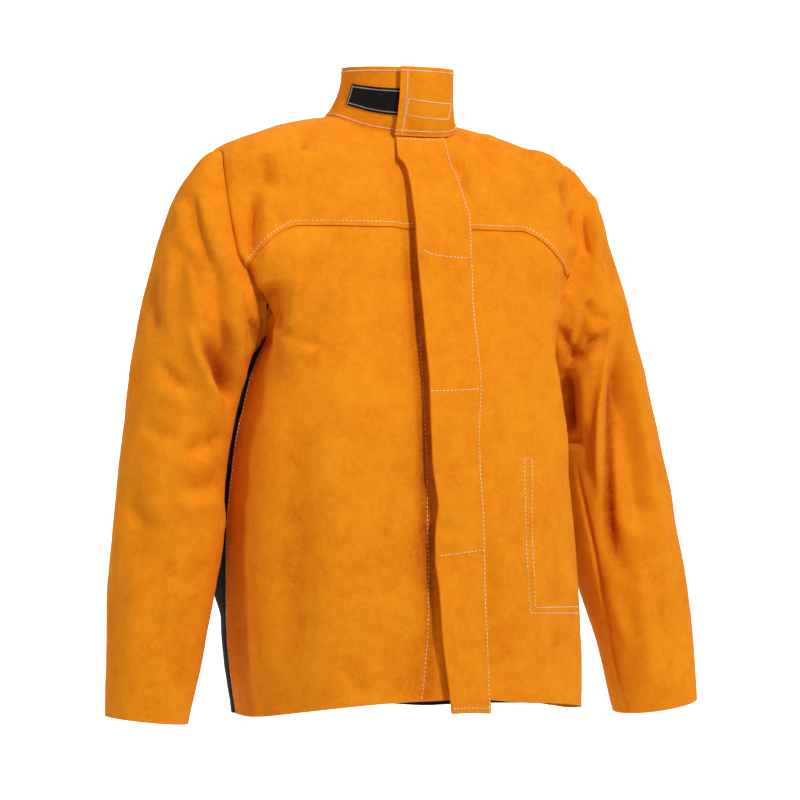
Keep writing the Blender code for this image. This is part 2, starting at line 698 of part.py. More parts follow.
def collar_ring(angle, height):
    """The collar's outer face: angle round the neck from the front, height as a share."""
    base = body_neck(angle)
    turn = np.radians(angle)
    top = np.stack(
        [
            COLLAR_HALF * np.sin(turn),
            COLLAR_SET_BACK - COLLAR_HALF * np.cos(turn),
            COLLAR_HEIGHT - COLLAR_FRONT_DIP * np.cos(turn),
        ],
        axis=-1,
    )
    lean = 1 - np.clip(1 - height, 0, 1) ** COLLAR_FLARE
    flat = base[..., :2] + (top[..., :2] - base[..., :2]) * np.asarray(lean)[..., None]
    tall = base[..., 2] + (top[..., 2] - base[..., 2]) * height
    return np.concatenate([flat, tall[..., None]], axis=-1)


def body_neck(angle):
    level = np.full(np.shape(angle), float(NECK_LEVEL))
    return settled(bare_body((np.asarray(angle) + 180) % 360 - 180, level))


def collar_angle(across):
    """The angle at which the collar's middle height is that far across in front."""
    return math.degrees(math.asin(across / ((COLLAR_HALF + NECK_HALF) / 2)))


COLLAR_LAP = COLLAR_WALL + 2 * TAPE + 3 * SEAT_GAP


def collar_offset(angle):
    """How far the band stands out where its left end laps over its right end."""
    return COLLAR_LAP * ramp((COLLAR_LAP_START - np.asarray(angle)) / COLLAR_LAP_EASE)


def collar_points(angle, height, offset):
    turn = np.radians(angle)
    away = np.stack([np.sin(turn), -np.cos(turn), 0 * turn], axis=-1)
    normal = outward(collar_ring, angle, height)
    normal = normal * np.sign((normal * away).sum(-1))[..., None]
    return collar_ring(angle, height) + normal * np.asarray(offset)[..., None]


def collar_grid(angles, heights, offset):
    a, h = np.meshgrid(angles, heights)
    return collar_points(a, h, offset + collar_offset(a))


def flap_grid():
    """Grid points of the front flap, hem to collar, free edge to sewn edge."""
    drops = np.linspace(BODY_LENGTH * LEVELS[0][0] + FLAP_OVERHANG, FLAP_TOP_DROP, FLAP_ROWS + 1)
    rows = []
    for drop in drops:
        place = table_at(FLAP_EDGE, FLAP_EDGE_COLUMNS, "place", drop) * FLAP_FREE_EDGE
        lift = table_at(FLAP_EDGE, FLAP_EDGE_COLUMNS, "lift", drop) * CLOSING_STEP
        across = np.linspace(-place, FLAP_SEWN_EDGE, FLAP_CELLS + 1)
        on_front = min(drop, BODY_LENGTH * LEVELS[0][0])
        angles = np.array([angle_at(x, on_front) for x in across])
        levels = np.full(len(across), level_of(0.0, on_front))
        points = body(angles, levels)
        points[:, 2] -= drop - on_front
        lift = lift * eased(drop / BODY_LENGTH, CLOSING_ZONE)
        lifts = 2 * LEATHER + FLAP_GAP + lift * np.linspace(1, 0, FLAP_CELLS + 1) ** 2
        rows.append(points + outward(pulled_body, angles, levels) * lifts[:, None])
    return np.array(rows)


def pocket_grid():
    """Grid points of the bag sewn inside the left front."""
    angles = np.linspace(angle_at(POCKET_FRONT_EDGE, POCKET_TOP_DROP), SIDE_SEAM_ANGLE - 9, 7)
    drops = np.linspace(POCKET_BOTTOM_DROP, POCKET_TOP_DROP, 8)
    a, d = np.meshgrid(angles, drops)
    levels = np.vectorize(level_of)(a, d)
    return body(a, levels) - outward(pulled_body, a, levels) * (LEATHER + POCKET_GAP)


def snap(name, drop):
    """One closed press stud, lying between the flap and the lower front."""
    angle, level = np.array([angle_at(0.0, drop)]), np.array([level_of(0.0, drop)])
    seat = body(angle, level)[0]
    normal = outward(pulled_body, angle, level)[0]
    lower = body(angle, level, True)[0]
    rest = float(np.dot(lower - seat, normal)) + SNAP_GAP
    height = FLAP_GAP - SNAP_GAP - rest
    bpy.ops.mesh.primitive_cylinder_add(
        vertices=20, radius=SNAP_RADIUS, depth=height, location=seat + normal * (rest + height / 2)
    )
    made = bpy.context.object
    made.name = name
    made.rotation_mode = "QUATERNION"
    made.rotation_quaternion = Vector(normal).to_track_quat("Z", "Y")
    bpy.ops.object.transform_apply(location=True, rotation=True, scale=True)
    bpy.context.collection.objects.unlink(made)
    JACKET.objects.link(made)
    return made


def grid_object(name, grids, wall):
    """Open grids laid on the given points, sewn where they meet and thickened inwards."""
    work = bmesh.new()
    for points in grids if isinstance(grids, list) else [grids]:
        rows, cols = points.shape[:2]
        made = bmesh.ops.create_grid(work, x_segments=cols - 1, y_segments=rows - 1, size=0.5)["verts"]
        made.sort(key=lambda vert: (round(vert.co.y, 5), round(vert.co.x, 5)))
        for place, vert in zip(points.reshape(-1, 3), made):
            vert.co = place
    bmesh.ops.remove_doubles(work, verts=work.verts, dist=1e-6)
    mesh = bpy.data.meshes.new(name)
    work.to_mesh(mesh)
    work.free()
    mesh.shade_smooth()
    made = bpy.data.objects.new(name, mesh)
    JACKET.objects.link(made)
    solid = made.modifiers.new("wall", "SOLIDIFY")
    solid.thickness = wall
    solid.offset = -1
    return made


def closed_columns(points):
    return np.concatenate([points, points[:, :1]], axis=1)


def flipped(points):
    """The grid with its columns reversed, which turns its faces round."""
    return points[:, ::-1]


def paint(made, material):
    made.data.materials.append(material)
    return made


def finish(name, colour, roughness):
    material = bpy.data.materials.new(name)
    material.use_nodes = True
    shader = material.node_tree.nodes["Principled BSDF"]
    shader.inputs["Base Color"].default_value = (*colour, 1)
    shader.inputs["Roughness"].default_value = roughness
    return material


def clear_scene():
    for old in list(bpy.data.objects):
        bpy.data.objects.remove(old)


clear_scene()
JACKET = bpy.data.collections.new("welding_jacket")
bpy.context.scene.collection.children.link(JACKET)

leather = finish("split_leather", (0.85, 0.36, 0.03), 0.9)
cotton = finish("black_cotton", (0.02, 0.02, 0.022), 0.85)
tape = finish("hook_tape", (0.015, 0.013, 0.013), 0.7)
metal = finish("snap_metal", (0.6, 0.58, 0.55), 0.35)

right_front = drawn_in(front_panel(-1, UNDER_EDGE, True), ("right", "top"), HALF_GAP)
paint(grid_object("front_right", flipped(right_front), LEATHER), leather)
left_front = drawn_in(front_panel(1, LEFT_EDGE, False), ("right", "top"), HALF_GAP)
paint(grid_object("front_left", left_front, LEATHER), leather)
back = drawn_in(back_panel(), ("left", "right", "top"), HALF_GAP)
paint(grid_object("back_panel", back, COTTON), cotton)
yoke = [front_yoke(LEFT_EDGE, 1), back_yoke(), flipped(front_yoke(UNDER_EDGE, -1))]
paint(grid_object("yoke", yoke, LEATHER), leather)

left_sleeve = sleeve_grid(LEFT_SLEEVE, 1, LEFT_SLEEVE_FOLDS)
paint(grid_object("sleeve_left", flipped(closed_columns(left_sleeve)), LEATHER), leather)
right_sleeve = sleeve_grid(RIGHT_SLEEVE, -1, RIGHT_SLEEVE_FOLDS)
paint(grid_object("sleeve_right", closed_columns(right_sleeve), LEATHER), leather)

band_angle = np.linspace(COLLAR_UNDER_END, COLLAR_FLAP_END - 360, COLLAR_CELLS + 1)
band = collar_grid(band_angle, np.linspace(COLLAR_LIFT, 1, COLLAR_ROWS + 1), 0)
paint(grid_object("collar", flipped(band), COLLAR_WALL), leather)
heights = np.linspace(TAPE_RISE, TAPE_RISE + TAPE_WIDTH, 3) / COLLAR_HEIGHT
hook_angle = band_angle[(band_angle < HOOK_END) & (band_angle > HOOK_START)]
hook = collar_grid(hook_angle, heights, TAPE + SEAT_GAP)
paint(grid_object("hook_strip", flipped(hook), TAPE), tape)
loop_angle = band_angle[(band_angle < LOOP_END - 360) & (band_angle > LOOP_START - 360)]
loop = collar_grid(loop_angle, heights, -COLLAR_WALL - SEAT_GAP)
paint(grid_object("loop_strip", flipped(loop), TAPE), tape)

paint(grid_object("front_flap", flap_grid(), 2 * LEATHER), leather)
for number, drop in enumerate(np.linspace(SNAP_FIRST_DROP, SNAP_LAST_DROP, SNAP_COUNT)):
    paint(snap("snap_%d" % (number + 1), drop), metal)
paint(grid_object("inside_pocket", pocket_grid(), LEATHER), leather)
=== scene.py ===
import math

import bmesh
import bpy
import numpy as np
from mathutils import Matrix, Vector, noise


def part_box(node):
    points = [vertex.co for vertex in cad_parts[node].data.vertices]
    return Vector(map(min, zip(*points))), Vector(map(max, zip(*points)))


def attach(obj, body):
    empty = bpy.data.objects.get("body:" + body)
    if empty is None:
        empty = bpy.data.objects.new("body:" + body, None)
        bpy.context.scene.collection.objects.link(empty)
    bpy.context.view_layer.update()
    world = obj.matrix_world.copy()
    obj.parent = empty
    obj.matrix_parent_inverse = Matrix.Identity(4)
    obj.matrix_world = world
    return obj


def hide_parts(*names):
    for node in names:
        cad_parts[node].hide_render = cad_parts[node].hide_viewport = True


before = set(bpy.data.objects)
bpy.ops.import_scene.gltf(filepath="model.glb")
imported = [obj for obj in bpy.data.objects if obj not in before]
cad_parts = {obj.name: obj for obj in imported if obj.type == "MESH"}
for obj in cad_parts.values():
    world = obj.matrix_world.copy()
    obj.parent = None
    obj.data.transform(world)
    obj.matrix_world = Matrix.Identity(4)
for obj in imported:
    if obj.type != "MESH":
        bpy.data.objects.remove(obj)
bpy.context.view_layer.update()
bpy.ops.object.select_all(action="DESELECT")

# Sizes of the garment in metres and degrees, as in the part's own source
torso = {
    "bodyLength": 0.705,
    "halfWidth": 0.210,
    "frontDepth": 0.160,
    "backDepth": 0.145,
    "shoulderHalf": 0.231,
    "neckHalf": 0.080,
    "neckSetBack": 0.038,
    "yokeDrop": 0.128,
    "yokeDip": 0.058,
    "backYokeDrop": 0.165,
    "leftSeamBend": 0.64,
    "rightSeamBend": 0.88,
    "leftSeamSag": (0.006, 0.006),
    "rightSeamSag": (0.0, 0.010),
    "sideSeamAngle": 97.0,
    "rightShoulderLift": 0.008,
    "leftShoulderIn": 0.009,
    "leftHemSag": 0.008,
    "fold": 0.020,
    "shoulderLineAngle": 92.0,
    "levelSpread": 0.045,
    "pullReach": 0.085,
    "shoulderLevel": 8,
    "neckLevel": 10,
}
sleeve = {
    "armholeDepth": 0.262,
    "armholeWidth": 0.122,
    "reach": 0.343,
    "drop": 0.712,
    "half": 0.066,
    "yokeArc": (3, 8),
    "pitPoint": 5,
    "loopSamples": 240,
}
closing = {
    "flapFreeEdge": 0.024,
    "flapSewnEdge": 0.042,
    "underEdge": 0.030,
    "closingStep": 0.0038,
    "valleyDepth": 0.009,
    "flapTopDrop": 0.026,
    "flapOverhang": 0.016,
    "flapGap": 0.0012,
}
band = {
    "height": 0.062,
    "frontDip": 0.004,
    "half": 0.0665,
    "setBack": 0.019,
    "underEnd": 24.0,
    "flapEnd": -21.0,
    "lift": 0.026,
    "lapStart": -285.0,
    "lapEase": 45.0,
}
strip = {
    "stitches": (0.0032, 0.04, 0.96),
    "pitch": 0.003,
    "width": 0.025,
    "rise": 0.016,
    "hookStart": -75.0,
    "hookEnd": 12.0,
    "loopStart": -14.0,
    "loopEnd": 42.0,
}
pocket = {
    "beforeSide": 9,
    "gap": 0.0015,
    "frontEdge": 0.105,
    "topDrop": 0.405,
    "bottomDrop": 0.585,
}
wall = {
    "leather": 0.0016,
    "cotton": 0.0011,
    "collarWall": 0.0030,
    "tape": 0.0014,
    "seatGap": 0.0008,
}

levelColumns = (
    "dropFront", "dropSide", "dropBack", "width", "front", "back", "square", "sway", "setBack",
)
levelRows = (
    (0.965, 1.000, 1.010, 1.00, 1.00, 0.93, 2.7, 0.012, 0.0),
    (0.870, 0.870, 0.870, 1.03, 0.95, 1.00, 2.7, -0.010, 0.0),
    (0.700, 0.700, 0.700, 1.02, 0.91, 0.96, 2.6, -0.030, 0.0),
    (0.550, 0.550, 0.550, 0.98, 0.86, 0.93, 2.5, -0.035, 0.0),
    (0.440, 0.440, 0.440, 0.92, 0.77, 0.92, 2.4, -0.010, 0.0),
    (0.340, 0.340, 0.340, 0.88, 0.67, 0.91, 2.4, 0.000, 0.0),
    (0.240, 0.240, 0.240, 0.90, 0.60, 0.87, 2.3, 0.000, 0.05),
    (0.160, 0.140, 0.130, 0.96, 0.52, 0.80, 2.2, 0.000, 0.20),
    (0.105, 0.066, 0.050, 1.10, 0.455, 0.70, 2.1, 0.000, 0.42),
    (0.062, 0.029, 0.010, 0.74, 0.445, 0.56, 2.0, 0.000, 0.75),
    (0.026, 0.000, -0.020, 0.385, 0.425, 0.425, 2.0, 0.000, 1.00),
)

armholeColumns = ("outward", "depth", "drop")
armholeRows = (
    (1.000, 0.13, 0.180),
    (1.012, -0.09, 0.350),
    (1.008, -0.23, 0.535),
    (0.980, -0.33, 0.715),
    (0.880, -0.22, 0.890),
    (0.765, 0.04, 1.000),
    (0.820, 0.42, 0.930),
    (0.925, 0.65, 0.740),
    (0.985, 0.62, 0.530),
    (1.008, 0.45, 0.310),
)

sleeveColumns = ("outer", "outerDrop", "inner", "innerDrop", "setBack", "deep")
leftSleeveRows = (
    (0.650, 0.074, 0.530, 0.368, 0.30, 0.98),
    (0.724, 0.094, 0.546, 0.385, 0.31, 1.08),
    (0.780, 0.130, 0.562, 0.402, 0.34, 1.13),
    (0.820, 0.185, 0.576, 0.420, 0.37, 1.13),
    (0.882, 0.262, 0.592, 0.440, 0.40, 1.10),
    (0.942, 0.350, 0.614, 0.465, 0.43, 1.06),
    (0.996, 0.430, 0.640, 0.510, 0.45, 1.02),
    (1.044, 0.520, 0.665, 0.570, 0.44, 0.99),
    (1.087, 0.610, 0.685, 0.640, 0.40, 0.99),
    (1.119, 0.700, 0.705, 0.712, 0.34, 1.00),
    (1.148, 0.790, 0.740, 0.790, 0.24, 0.95),
    (1.168, 0.895, 0.802, 0.895, 0.12, 0.87),
    (1.168, 0.995, 0.862, 1.018, 0.00, 0.79),
)

rightSleeveRows = (
    (0.676, 0.066, 0.530, 0.368, 0.30, 0.98),
    (0.752, 0.090, 0.546, 0.385, 0.31, 1.08),
    (0.806, 0.127, 0.562, 0.402, 0.34, 1.13),
    (0.851, 0.185, 0.572, 0.420, 0.37, 1.13),
    (0.899, 0.262, 0.580, 0.440, 0.40, 1.10),
    (0.942, 0.350, 0.594, 0.465, 0.43, 1.06),
    (0.969, 0.430, 0.614, 0.510, 0.45, 1.02),
    (0.993, 0.520, 0.638, 0.570, 0.44, 0.99),
    (1.018, 0.610, 0.655, 0.640, 0.40, 0.99),
    (1.040, 0.700, 0.664, 0.712, 0.34, 1.00),
    (1.064, 0.790, 0.703, 0.790, 0.24, 0.95),
    (1.076, 0.890, 0.754, 0.895, 0.12, 0.87),
    (1.090, 0.981, 0.811, 0.996, 0.00, 0.79),
)

dipColumns = ("drop", "middle", "half")
dipRows = (
    (0.00, 0.70, 0.30),
    (0.30, 0.76, 0.30),
    (0.60, 0.84, 0.36),
    (0.85, 1.00, 0.50),
    (1.05, 1.18, 0.62),
)

bodyFoldColumns = ("angleA", "dropA", "angleB", "dropB", "half", "height")
bodyFoldRows = (
    (-66, 0.21, -70, 0.43, 0.80, 0.65),
    (-78, 0.25, -83, 0.39, 0.70, -0.70),
    (-78, 0.09, -76, 0.24, 0.55, -0.38),
    (64, 0.17, 63, 0.60, 0.85, 0.45),
    (75, 0.22, 82, 0.37, 0.70, -0.65),
    (48, 0.07, 58, 0.17, 0.60, -0.22),
    (-54, 0.50, -52, 0.98, 1.10, 0.22),
    (-30, 0.62, -26, 1.02, 1.40, -0.15),
    (-80, 0.52, -84, 0.95, 1.20, -0.22),
    (34, 0.55, 36, 1.02, 1.60, 0.15),
    (112, 0.45, 116, 1.03, 0.95, -0.40),
    (132, 0.40, 134, 1.03, 1.00, 0.40),
    (153, 0.45, 150, 1.03, 1.00, -0.42),
    (176, 0.38, 178, 1.03, 1.00, 0.40),
    (202, 0.45, 204, 1.03, 1.00, -0.42),
    (226, 0.40, 224, 1.03, 1.00, 0.42),
    (246, 0.46, 243, 1.03, 0.95, -0.40),
    (255, 0.60, 253, 0.82, 1.00, 0.55),
)

sleeveFoldColumns = ("angleA", "alongA", "angleB", "alongB", "half", "height")
rightSleeveFoldRows = (
    (70, 0.24, 132, 0.50, 0.90, -0.55),
    (52, 0.28, 112, 0.55, 0.80, 0.32),
    (118, 0.16, 140, 0.32, 0.80, -0.30),
    (30, 0.22, 42, 0.42, 0.75, -0.32),
    (20, 0.66, 48, 0.80, 1.00, -0.30),
    (80, 0.62, 150, 0.72, 1.10, 0.22),
    (250, 0.30, 200, 0.45, 0.80, -0.40),
    (300, 0.55, 240, 0.66, 0.90, -0.35),
)

leftSleeveFoldRows = (
    (84, 0.36, 96, 0.74, 0.85, -0.75),
    (62, 0.28, 80, 0.80, 0.85, 0.30),
    (116, 0.30, 122, 0.66, 0.80, 0.35),
    (104, 0.20, 150, 0.34, 0.80, -0.38),
    (60, 0.84, 80, 0.98, 0.85, -0.20),
    (250, 0.30, 200, 0.45, 0.80, -0.40),
    (300, 0.55, 240, 0.66, 0.90, -0.35),
)


def column(table, names, name):
    return np.array([row[names.index(name)] for row in table], float)


def spline(p0, p1, p2, p3, f):
    # Catmull-Rom value at the share f of the way from p1 to p2
    bend = 2 * p0 - 5 * p1 + 4 * p2 - p3
    return 0.5 * (2 * p1 + (p2 - p0) * f + bend * f**2 + (3 * p1 - p0 - 3 * p2 + p3) * f**3)


def smoothAt(values, at):
    # Smooth value of evenly indexed values at fractional indices
    values = np.asarray(values, float)
    last = len(values) - 1
    at = np.clip(np.asarray(at, float), 0, last)
    i = np.clip(np.floor(at).astype(int), 0, last - 1)
    around = (np.maximum(i - 1, 0), i, i + 1, np.minimum(i + 2, last))
    return spline(*(values[k] for k in around), at - i)


def closedSmoothAt(values, at):
    # The same on a closed ring of values
    values = np.asarray(values, float)
    i = np.floor(at).astype(int)
    return spline(*(values[(i + k) % len(values)] for k in (-1, 0, 1, 2)), at - i)


def ramp(x):
    x = np.clip(x, 0, 1)
    return x * x * (3 - 2 * x)


def tableAt(table, names, name, drop):
    # A column of a table whose first column is a share of torso["bodyLength"], at real drops.
    return np.interp(drop / torso["bodyLength"], column(table, names, "drop"), column(table, names, name))


def levelValues(level):
    return {name: smoothAt(column(levelRows, levelColumns, name), level) for name in levelColumns}


def bareBody(angle, level):
    # The plain garment surface: angle in degrees round the body from the front, and level.
    v = levelValues(level)
    turn = np.radians(angle)
    side, fore = np.sin(turn), np.cos(turn)
    half = v["width"] * torso["halfWidth"]
    depth = np.where(fore > 0, v["front"] * torso["frontDepth"], v["back"] * torso["backDepth"])
    power = v["square"]
    radius = ((np.abs(side) / half) ** power + (np.abs(fore) / depth) ** power) ** (-1 / power)
    endDrop = np.where(fore > 0, v["dropFront"], v["dropBack"])
    drop = v["dropSide"] + (endDrop - v["dropSide"]) * ramp(np.abs(fore))
    x = v["sway"] * torso["halfWidth"] + radius * side
    y = v["setBack"] * torso["neckSetBack"] - radius * fore
    return np.stack([x, y, -drop * torso["bodyLength"]], axis=-1)


def levelOf(angle, drop, top=torso["neckLevel"]):
    # The level at which the plain surface, at that angle, lies that far below the origin.
    levels = np.linspace(0, top, 121)
    heights = bareBody(float(angle), levels)[:, 2]
    return float(np.interp(-drop, heights, levels))


def angleAcross(across, level):
    # The angle of the front at a distance across from the middle, at that level.
    v = levelValues(level)
    half, depth = v["width"] * torso["halfWidth"], v["front"] * torso["frontDepth"]
    x = across - v["sway"] * torso["halfWidth"]
    y = depth * (1 - (abs(x) / half) ** v["square"]) ** (1 / v["square"])
    return math.degrees(math.atan2(x, y))


def angleAt(across, drop):
    return angleAcross(across, levelOf(0.0, drop))


def armholePoints(at):
    outward = closedSmoothAt(column(armholeRows, armholeColumns, "outward"), at) * torso["shoulderHalf"]
    depth = closedSmoothAt(column(armholeRows, armholeColumns, "depth"), at) * sleeve["armholeWidth"]
    drop = closedSmoothAt(column(armholeRows, armholeColumns, "drop"), at) * sleeve["armholeDepth"]
    return np.stack([outward, depth, -drop], axis=-1)


def armholePlaces(at):
    # Where the armhole's points lie on the plain surface, as angle and level.
    points = armholePoints(at)
    places = []
    for x, y, z in points:
        level = 6.0
        for _ in range(6):
            v = levelValues(level)
            angle = math.degrees(math.atan2(x, v["setBack"] * torso["neckSetBack"] - y))
            level = levelOf(angle, -z, torso["shoulderLevel"])
        places.append((angle, level))
    return np.array(places)


loopAt = np.linspace(0, len(armholeRows), sleeve["loopSamples"], endpoint=False)
loopPoints = armholePoints(loopAt)
loopPlaces = armholePlaces(loopAt)
loopPull = loopPoints - bareBody(loopPlaces[:, 0], loopPlaces[:, 1])


def armholePull(angle, drop):
    # How the armhole seams draw the surface out towards them, for angles of either side.
    wrapped = (np.asarray(angle) + 180) % 360 - 180
    sign = np.where(wrapped >= 0, 1.0, -1.0)
    across = np.radians(np.abs(wrapped)[..., None] - loopPlaces[:, 0]) * torso["halfWidth"]
    down = np.asarray(drop)[..., None] + loopPoints[:, 2]
    away = np.sqrt(across**2 + down**2)
    share = 1 / (away**2 + 1e-7) ** 2
    pull = (share @ loopPull) / share.sum(-1)[..., None]
    pull = pull * (1 - ramp(away.min(-1) / torso["pullReach"]))[..., None]
    pull[..., 0] = pull[..., 0] * sign
    return pull


def stroke(across, along, row, half, length):
    # A soft ridge or valley round the line between two places, thinning out at its ends.
    a = np.array(row[0:2]) * length
    b = np.array(row[2:4]) * length
    line = b - a
    size = math.hypot(*line)
    share = ((across - a[0]) * line[0] + (along - a[1]) * line[1]) / size**2
    off = ((across - a[0]) * line[1] - (along - a[1]) * line[0]) / size
    ends = ramp((share + 0.12) / 0.3) * ramp((1.12 - share) / 0.3)
    return np.exp(-((off / half) ** 2)) * ends


def bodyFolds(angle, drop):
    # The height of the deep folds of the body
    wrapped = np.where(angle < -105, angle + 360, angle)
    total = np.zeros(np.broadcast(angle, drop).shape)
    length = np.array([math.radians(1) * torso["halfWidth"] * 0.85, torso["bodyLength"]])
    for row in bodyFoldRows:
        half = row[4] * torso["fold"]
        total += row[5] * torso["fold"] * stroke(wrapped * length[0], drop, row, half, length)
    return total


def outward(surface, a, b):
    # Unit normals of a surface function, by small differences.
    stepA, stepB = 0.25, 0.01
    alongA = surface(a + stepA, b) - surface(a - stepA, b)
    alongB = surface(a, b + stepB) - surface(a, b - stepB)
    normal = np.cross(alongA, alongB)
    return normal / np.linalg.norm(normal, axis=-1)[..., None]


def belowNeck(drop):
    # Grows from 0 at the neck to 1 a hand's breadth below it
    return ramp((drop / torso["bodyLength"] - 0.03) / 0.09)


def closingDip(across, drop):
    # How far the lower front lies behind the upper one, beside and under the flap
    middle = -tableAt(dipRows, dipColumns, "middle", drop) * closing["flapSewnEdge"]
    half = tableAt(dipRows, dipColumns, "half", drop) * closing["flapSewnEdge"]
    hidden = ramp((across - middle) / (closing["flapFreeEdge"] * 0.8))
    valley = closing["valleyDepth"] * np.exp(-(((across - middle) / half) ** 2))
    return -(closing["closingStep"] * hidden + valley) * belowNeck(drop)


def pulledBody(angle, level):
    plain = bareBody(angle, level)
    return plain + armholePull(angle, -plain[..., 2])


# Where shoulders and hem are set unevenly: shares of the jacket's width and length, and heights
settling = {
    "liftFrom": 0.20, "liftEase": 0.12, "liftAt": 0.62, "liftHalf": 0.30,
    "inFrom": 0.32, "inEase": 0.16, "inAcross": 0.50, "inSpread": 0.45,
    "sagAcross": 0.5, "sagFrom": 0.6, "sagEase": 0.4,
}


def settled(points):
    # The set of the shoulders and the hem, uneven from one side to the other
    x, z = points[..., 0], points[..., 2]
    shoulder = x / torso["shoulderHalf"]
    lift = np.exp(-(((shoulder + settling["liftAt"]) / settling["liftHalf"]) ** 2))
    drawnIn = ramp((shoulder - settling["inAcross"]) / settling["inSpread"])
    sag = ramp(x / torso["halfWidth"] / settling["sagAcross"])
    low = ramp((-z / torso["bodyLength"] - settling["sagFrom"]) / settling["sagEase"])
    moved = points.copy()
    moved[..., 2] += torso["rightShoulderLift"] * lift * ramp((z + settling["liftFrom"]) / settling["liftEase"])
    moved[..., 0] -= torso["leftShoulderIn"] * drawnIn * ramp((z + settling["inFrom"]) / settling["inEase"])
    moved[..., 2] -= torso["leftHemSag"] * sag * low
    return moved


def body(angle, level, lowerFront=False):
    # The finished outer surface of the body, with its folds.
    angle = np.asarray(angle, float)
    level = np.asarray(level, float)
    surface = pulledBody(angle, level)
    drop = -surface[..., 2]
    rise = bodyFolds(angle, drop)
    if lowerFront:
        front = np.abs(angle) < 60
        rise = rise + np.where(front, closingDip(surface[..., 0], drop), 0.0)
    return settled(surface + outward(pulledBody, angle, level) * rise[..., None])


def loopStretch(first, last, count):
    # Places (angle, level) evenly along the armhole seam between two of its points.
    at = np.linspace(first, last, 200)
    points = armholePoints(at % len(armholeRows))
    steps = np.linalg.norm(np.diff(points, axis=0), axis=1)
    along = np.concatenate([[0], np.cumsum(steps)])
    even = np.interp(np.linspace(0, along[-1], count + 1), along, at)
    return even % len(armholeRows)


def seamDrop(share, sign):
    # The drop of the front yoke seam, by the share of the way from the middle to the arm.
    bend = torso["leftSeamBend"] if sign > 0 else torso["rightSeamBend"]
    middle, outer = torso["leftSeamSag"] if sign > 0 else torso["rightSeamSag"]
    sag = middle + (outer - middle) * share
    return torso["yokeDrop"] + sag + (torso["yokeDip"] - outer) * ramp((share - bend) / (1 - bend))


def laidFlat(places):
    # Places on the upper body as seen from above the neck, for even grids round it.
    reach = torso["neckHalf"] + (torso["neckLevel"] - places[..., 1]) * torso["levelSpread"]
    turn = np.radians(places[..., 0])
    return np.stack([reach * np.sin(turn), reach * np.cos(turn)], axis=-1)


def liftedBack(flat):
    reach = np.hypot(flat[..., 0], flat[..., 1])
    level = torso["neckLevel"] - (reach - torso["neckHalf"]) / torso["levelSpread"]
    angle = np.degrees(np.arctan2(flat[..., 0], flat[..., 1]))
    return np.stack([angle, np.minimum(level, torso["neckLevel"])], axis=-1)


def sleeveFrame(table, along):
    # Outer edge, inner edge, middle's set-back and half depth at shares of the length.
    at = np.asarray(along) * (len(table) - 1)
    value = lambda name: smoothAt(column(table, sleeveColumns, name), at)
    outer = np.stack([value("outer") * sleeve["reach"], -value("outerDrop") * sleeve["drop"]], axis=-1)
    inner = np.stack([value("inner") * sleeve["reach"], -value("innerDrop") * sleeve["drop"]], axis=-1)
    return outer, inner, value("setBack") * sleeve["half"], value("deep") * sleeve["half"]


def plainSleeve(table, angle, along):
    # The sleeve without its folds, as on the wearer's left: 0 outside, 90 in front, 180 inside.
    outer, inner, setBack, deep = sleeveFrame(table, along)
    turn = np.radians(angle)
    middle = (outer + inner) / 2
    arm = (outer - inner) / 2
    x = middle[..., 0] + arm[..., 0] * np.cos(turn)
    z = middle[..., 1] + arm[..., 1] * np.cos(turn)
    y = setBack - deep * np.sin(turn)
    return np.stack(np.broadcast_arrays(x, y, z), axis=-1)


def foldedSleeve(table, angle, along, folds):
    # The sleeve with its deep folds, which may run across the seam of the angles
    plain = plainSleeve(table, angle, along)
    length = np.array([math.radians(1) * sleeve["half"], sleeve["drop"]])
    rise = np.zeros(plain.shape[:-1])
    for row in folds:
        half = row[4] * torso["fold"]
        for turn in (-360, 0, 360):
            across = (angle + turn) * length[0]
            rise += row[5] * torso["fold"] * stroke(across, along * length[1], row, half, length)
    normal = outward(lambda a, b: plainSleeve(table, a, b), angle, along)
    return plain + normal * rise[..., None]


def bodyNeck(angle):
    level = np.full(np.shape(angle), float(torso["neckLevel"]))
    return settled(bareBody((np.asarray(angle) + 180) % 360 - 180, level))


def collarRing(angle, height):
    # The collar's outer face: angle round the neck from the front, height as a share.
    base = bodyNeck(angle)
    turn = np.radians(angle)
    top = np.stack(
        [
            band["half"] * np.sin(turn),
            band["setBack"] - band["half"] * np.cos(turn),
            band["height"] - band["frontDip"] * np.cos(turn),
        ],
        axis=-1,
    )
    lean = 1 - np.clip(1 - height, 0, 1) ** 2.4
    flat = base[..., :2] + (top[..., :2] - base[..., :2]) * np.asarray(lean)[..., None]
    tall = base[..., 2] + (top[..., 2] - base[..., 2]) * height
    return np.concatenate([flat, tall[..., None]], axis=-1)


collarLap = wall["collarWall"] + 2 * wall["tape"] + 3 * wall["seatGap"]


def collarOffset(angle):
    # How far the band stands out where its left end laps over its right end
    return collarLap * ramp((band["lapStart"] - np.asarray(angle)) / band["lapEase"])


def collarPoints(angle, height, offset):
    # The collar's outer face, moved outwards from the neck
    normal = outward(collarRing, angle, height)
    turn = np.radians(angle)
    away = np.stack([np.sin(turn), -np.cos(turn), 0 * angle], axis=-1)
    normal = normal * np.sign((normal * away).sum(-1))[..., None]
    return collarRing(angle, height) + normal * np.asarray(offset)[..., None]


# Where the camera stands: it also says where a pixel of the photograph falls on the jacket
view = {
    "turn": -25.0, "distance": 3.4, "pixel": 0.0012, "aimHeight": -0.336, "aimRight": 3,
    "frame": 800, "lensWidth": 36,
}
turned = math.radians(view["turn"])
toCamera = np.array([math.sin(turned), -math.cos(turned), 0.0])
toRight = np.array([math.cos(turned), math.sin(turned), 0.0])
aim = np.array([0.0, 0.0, view["aimHeight"]]) - toRight * view["aimRight"] * view["pixel"]


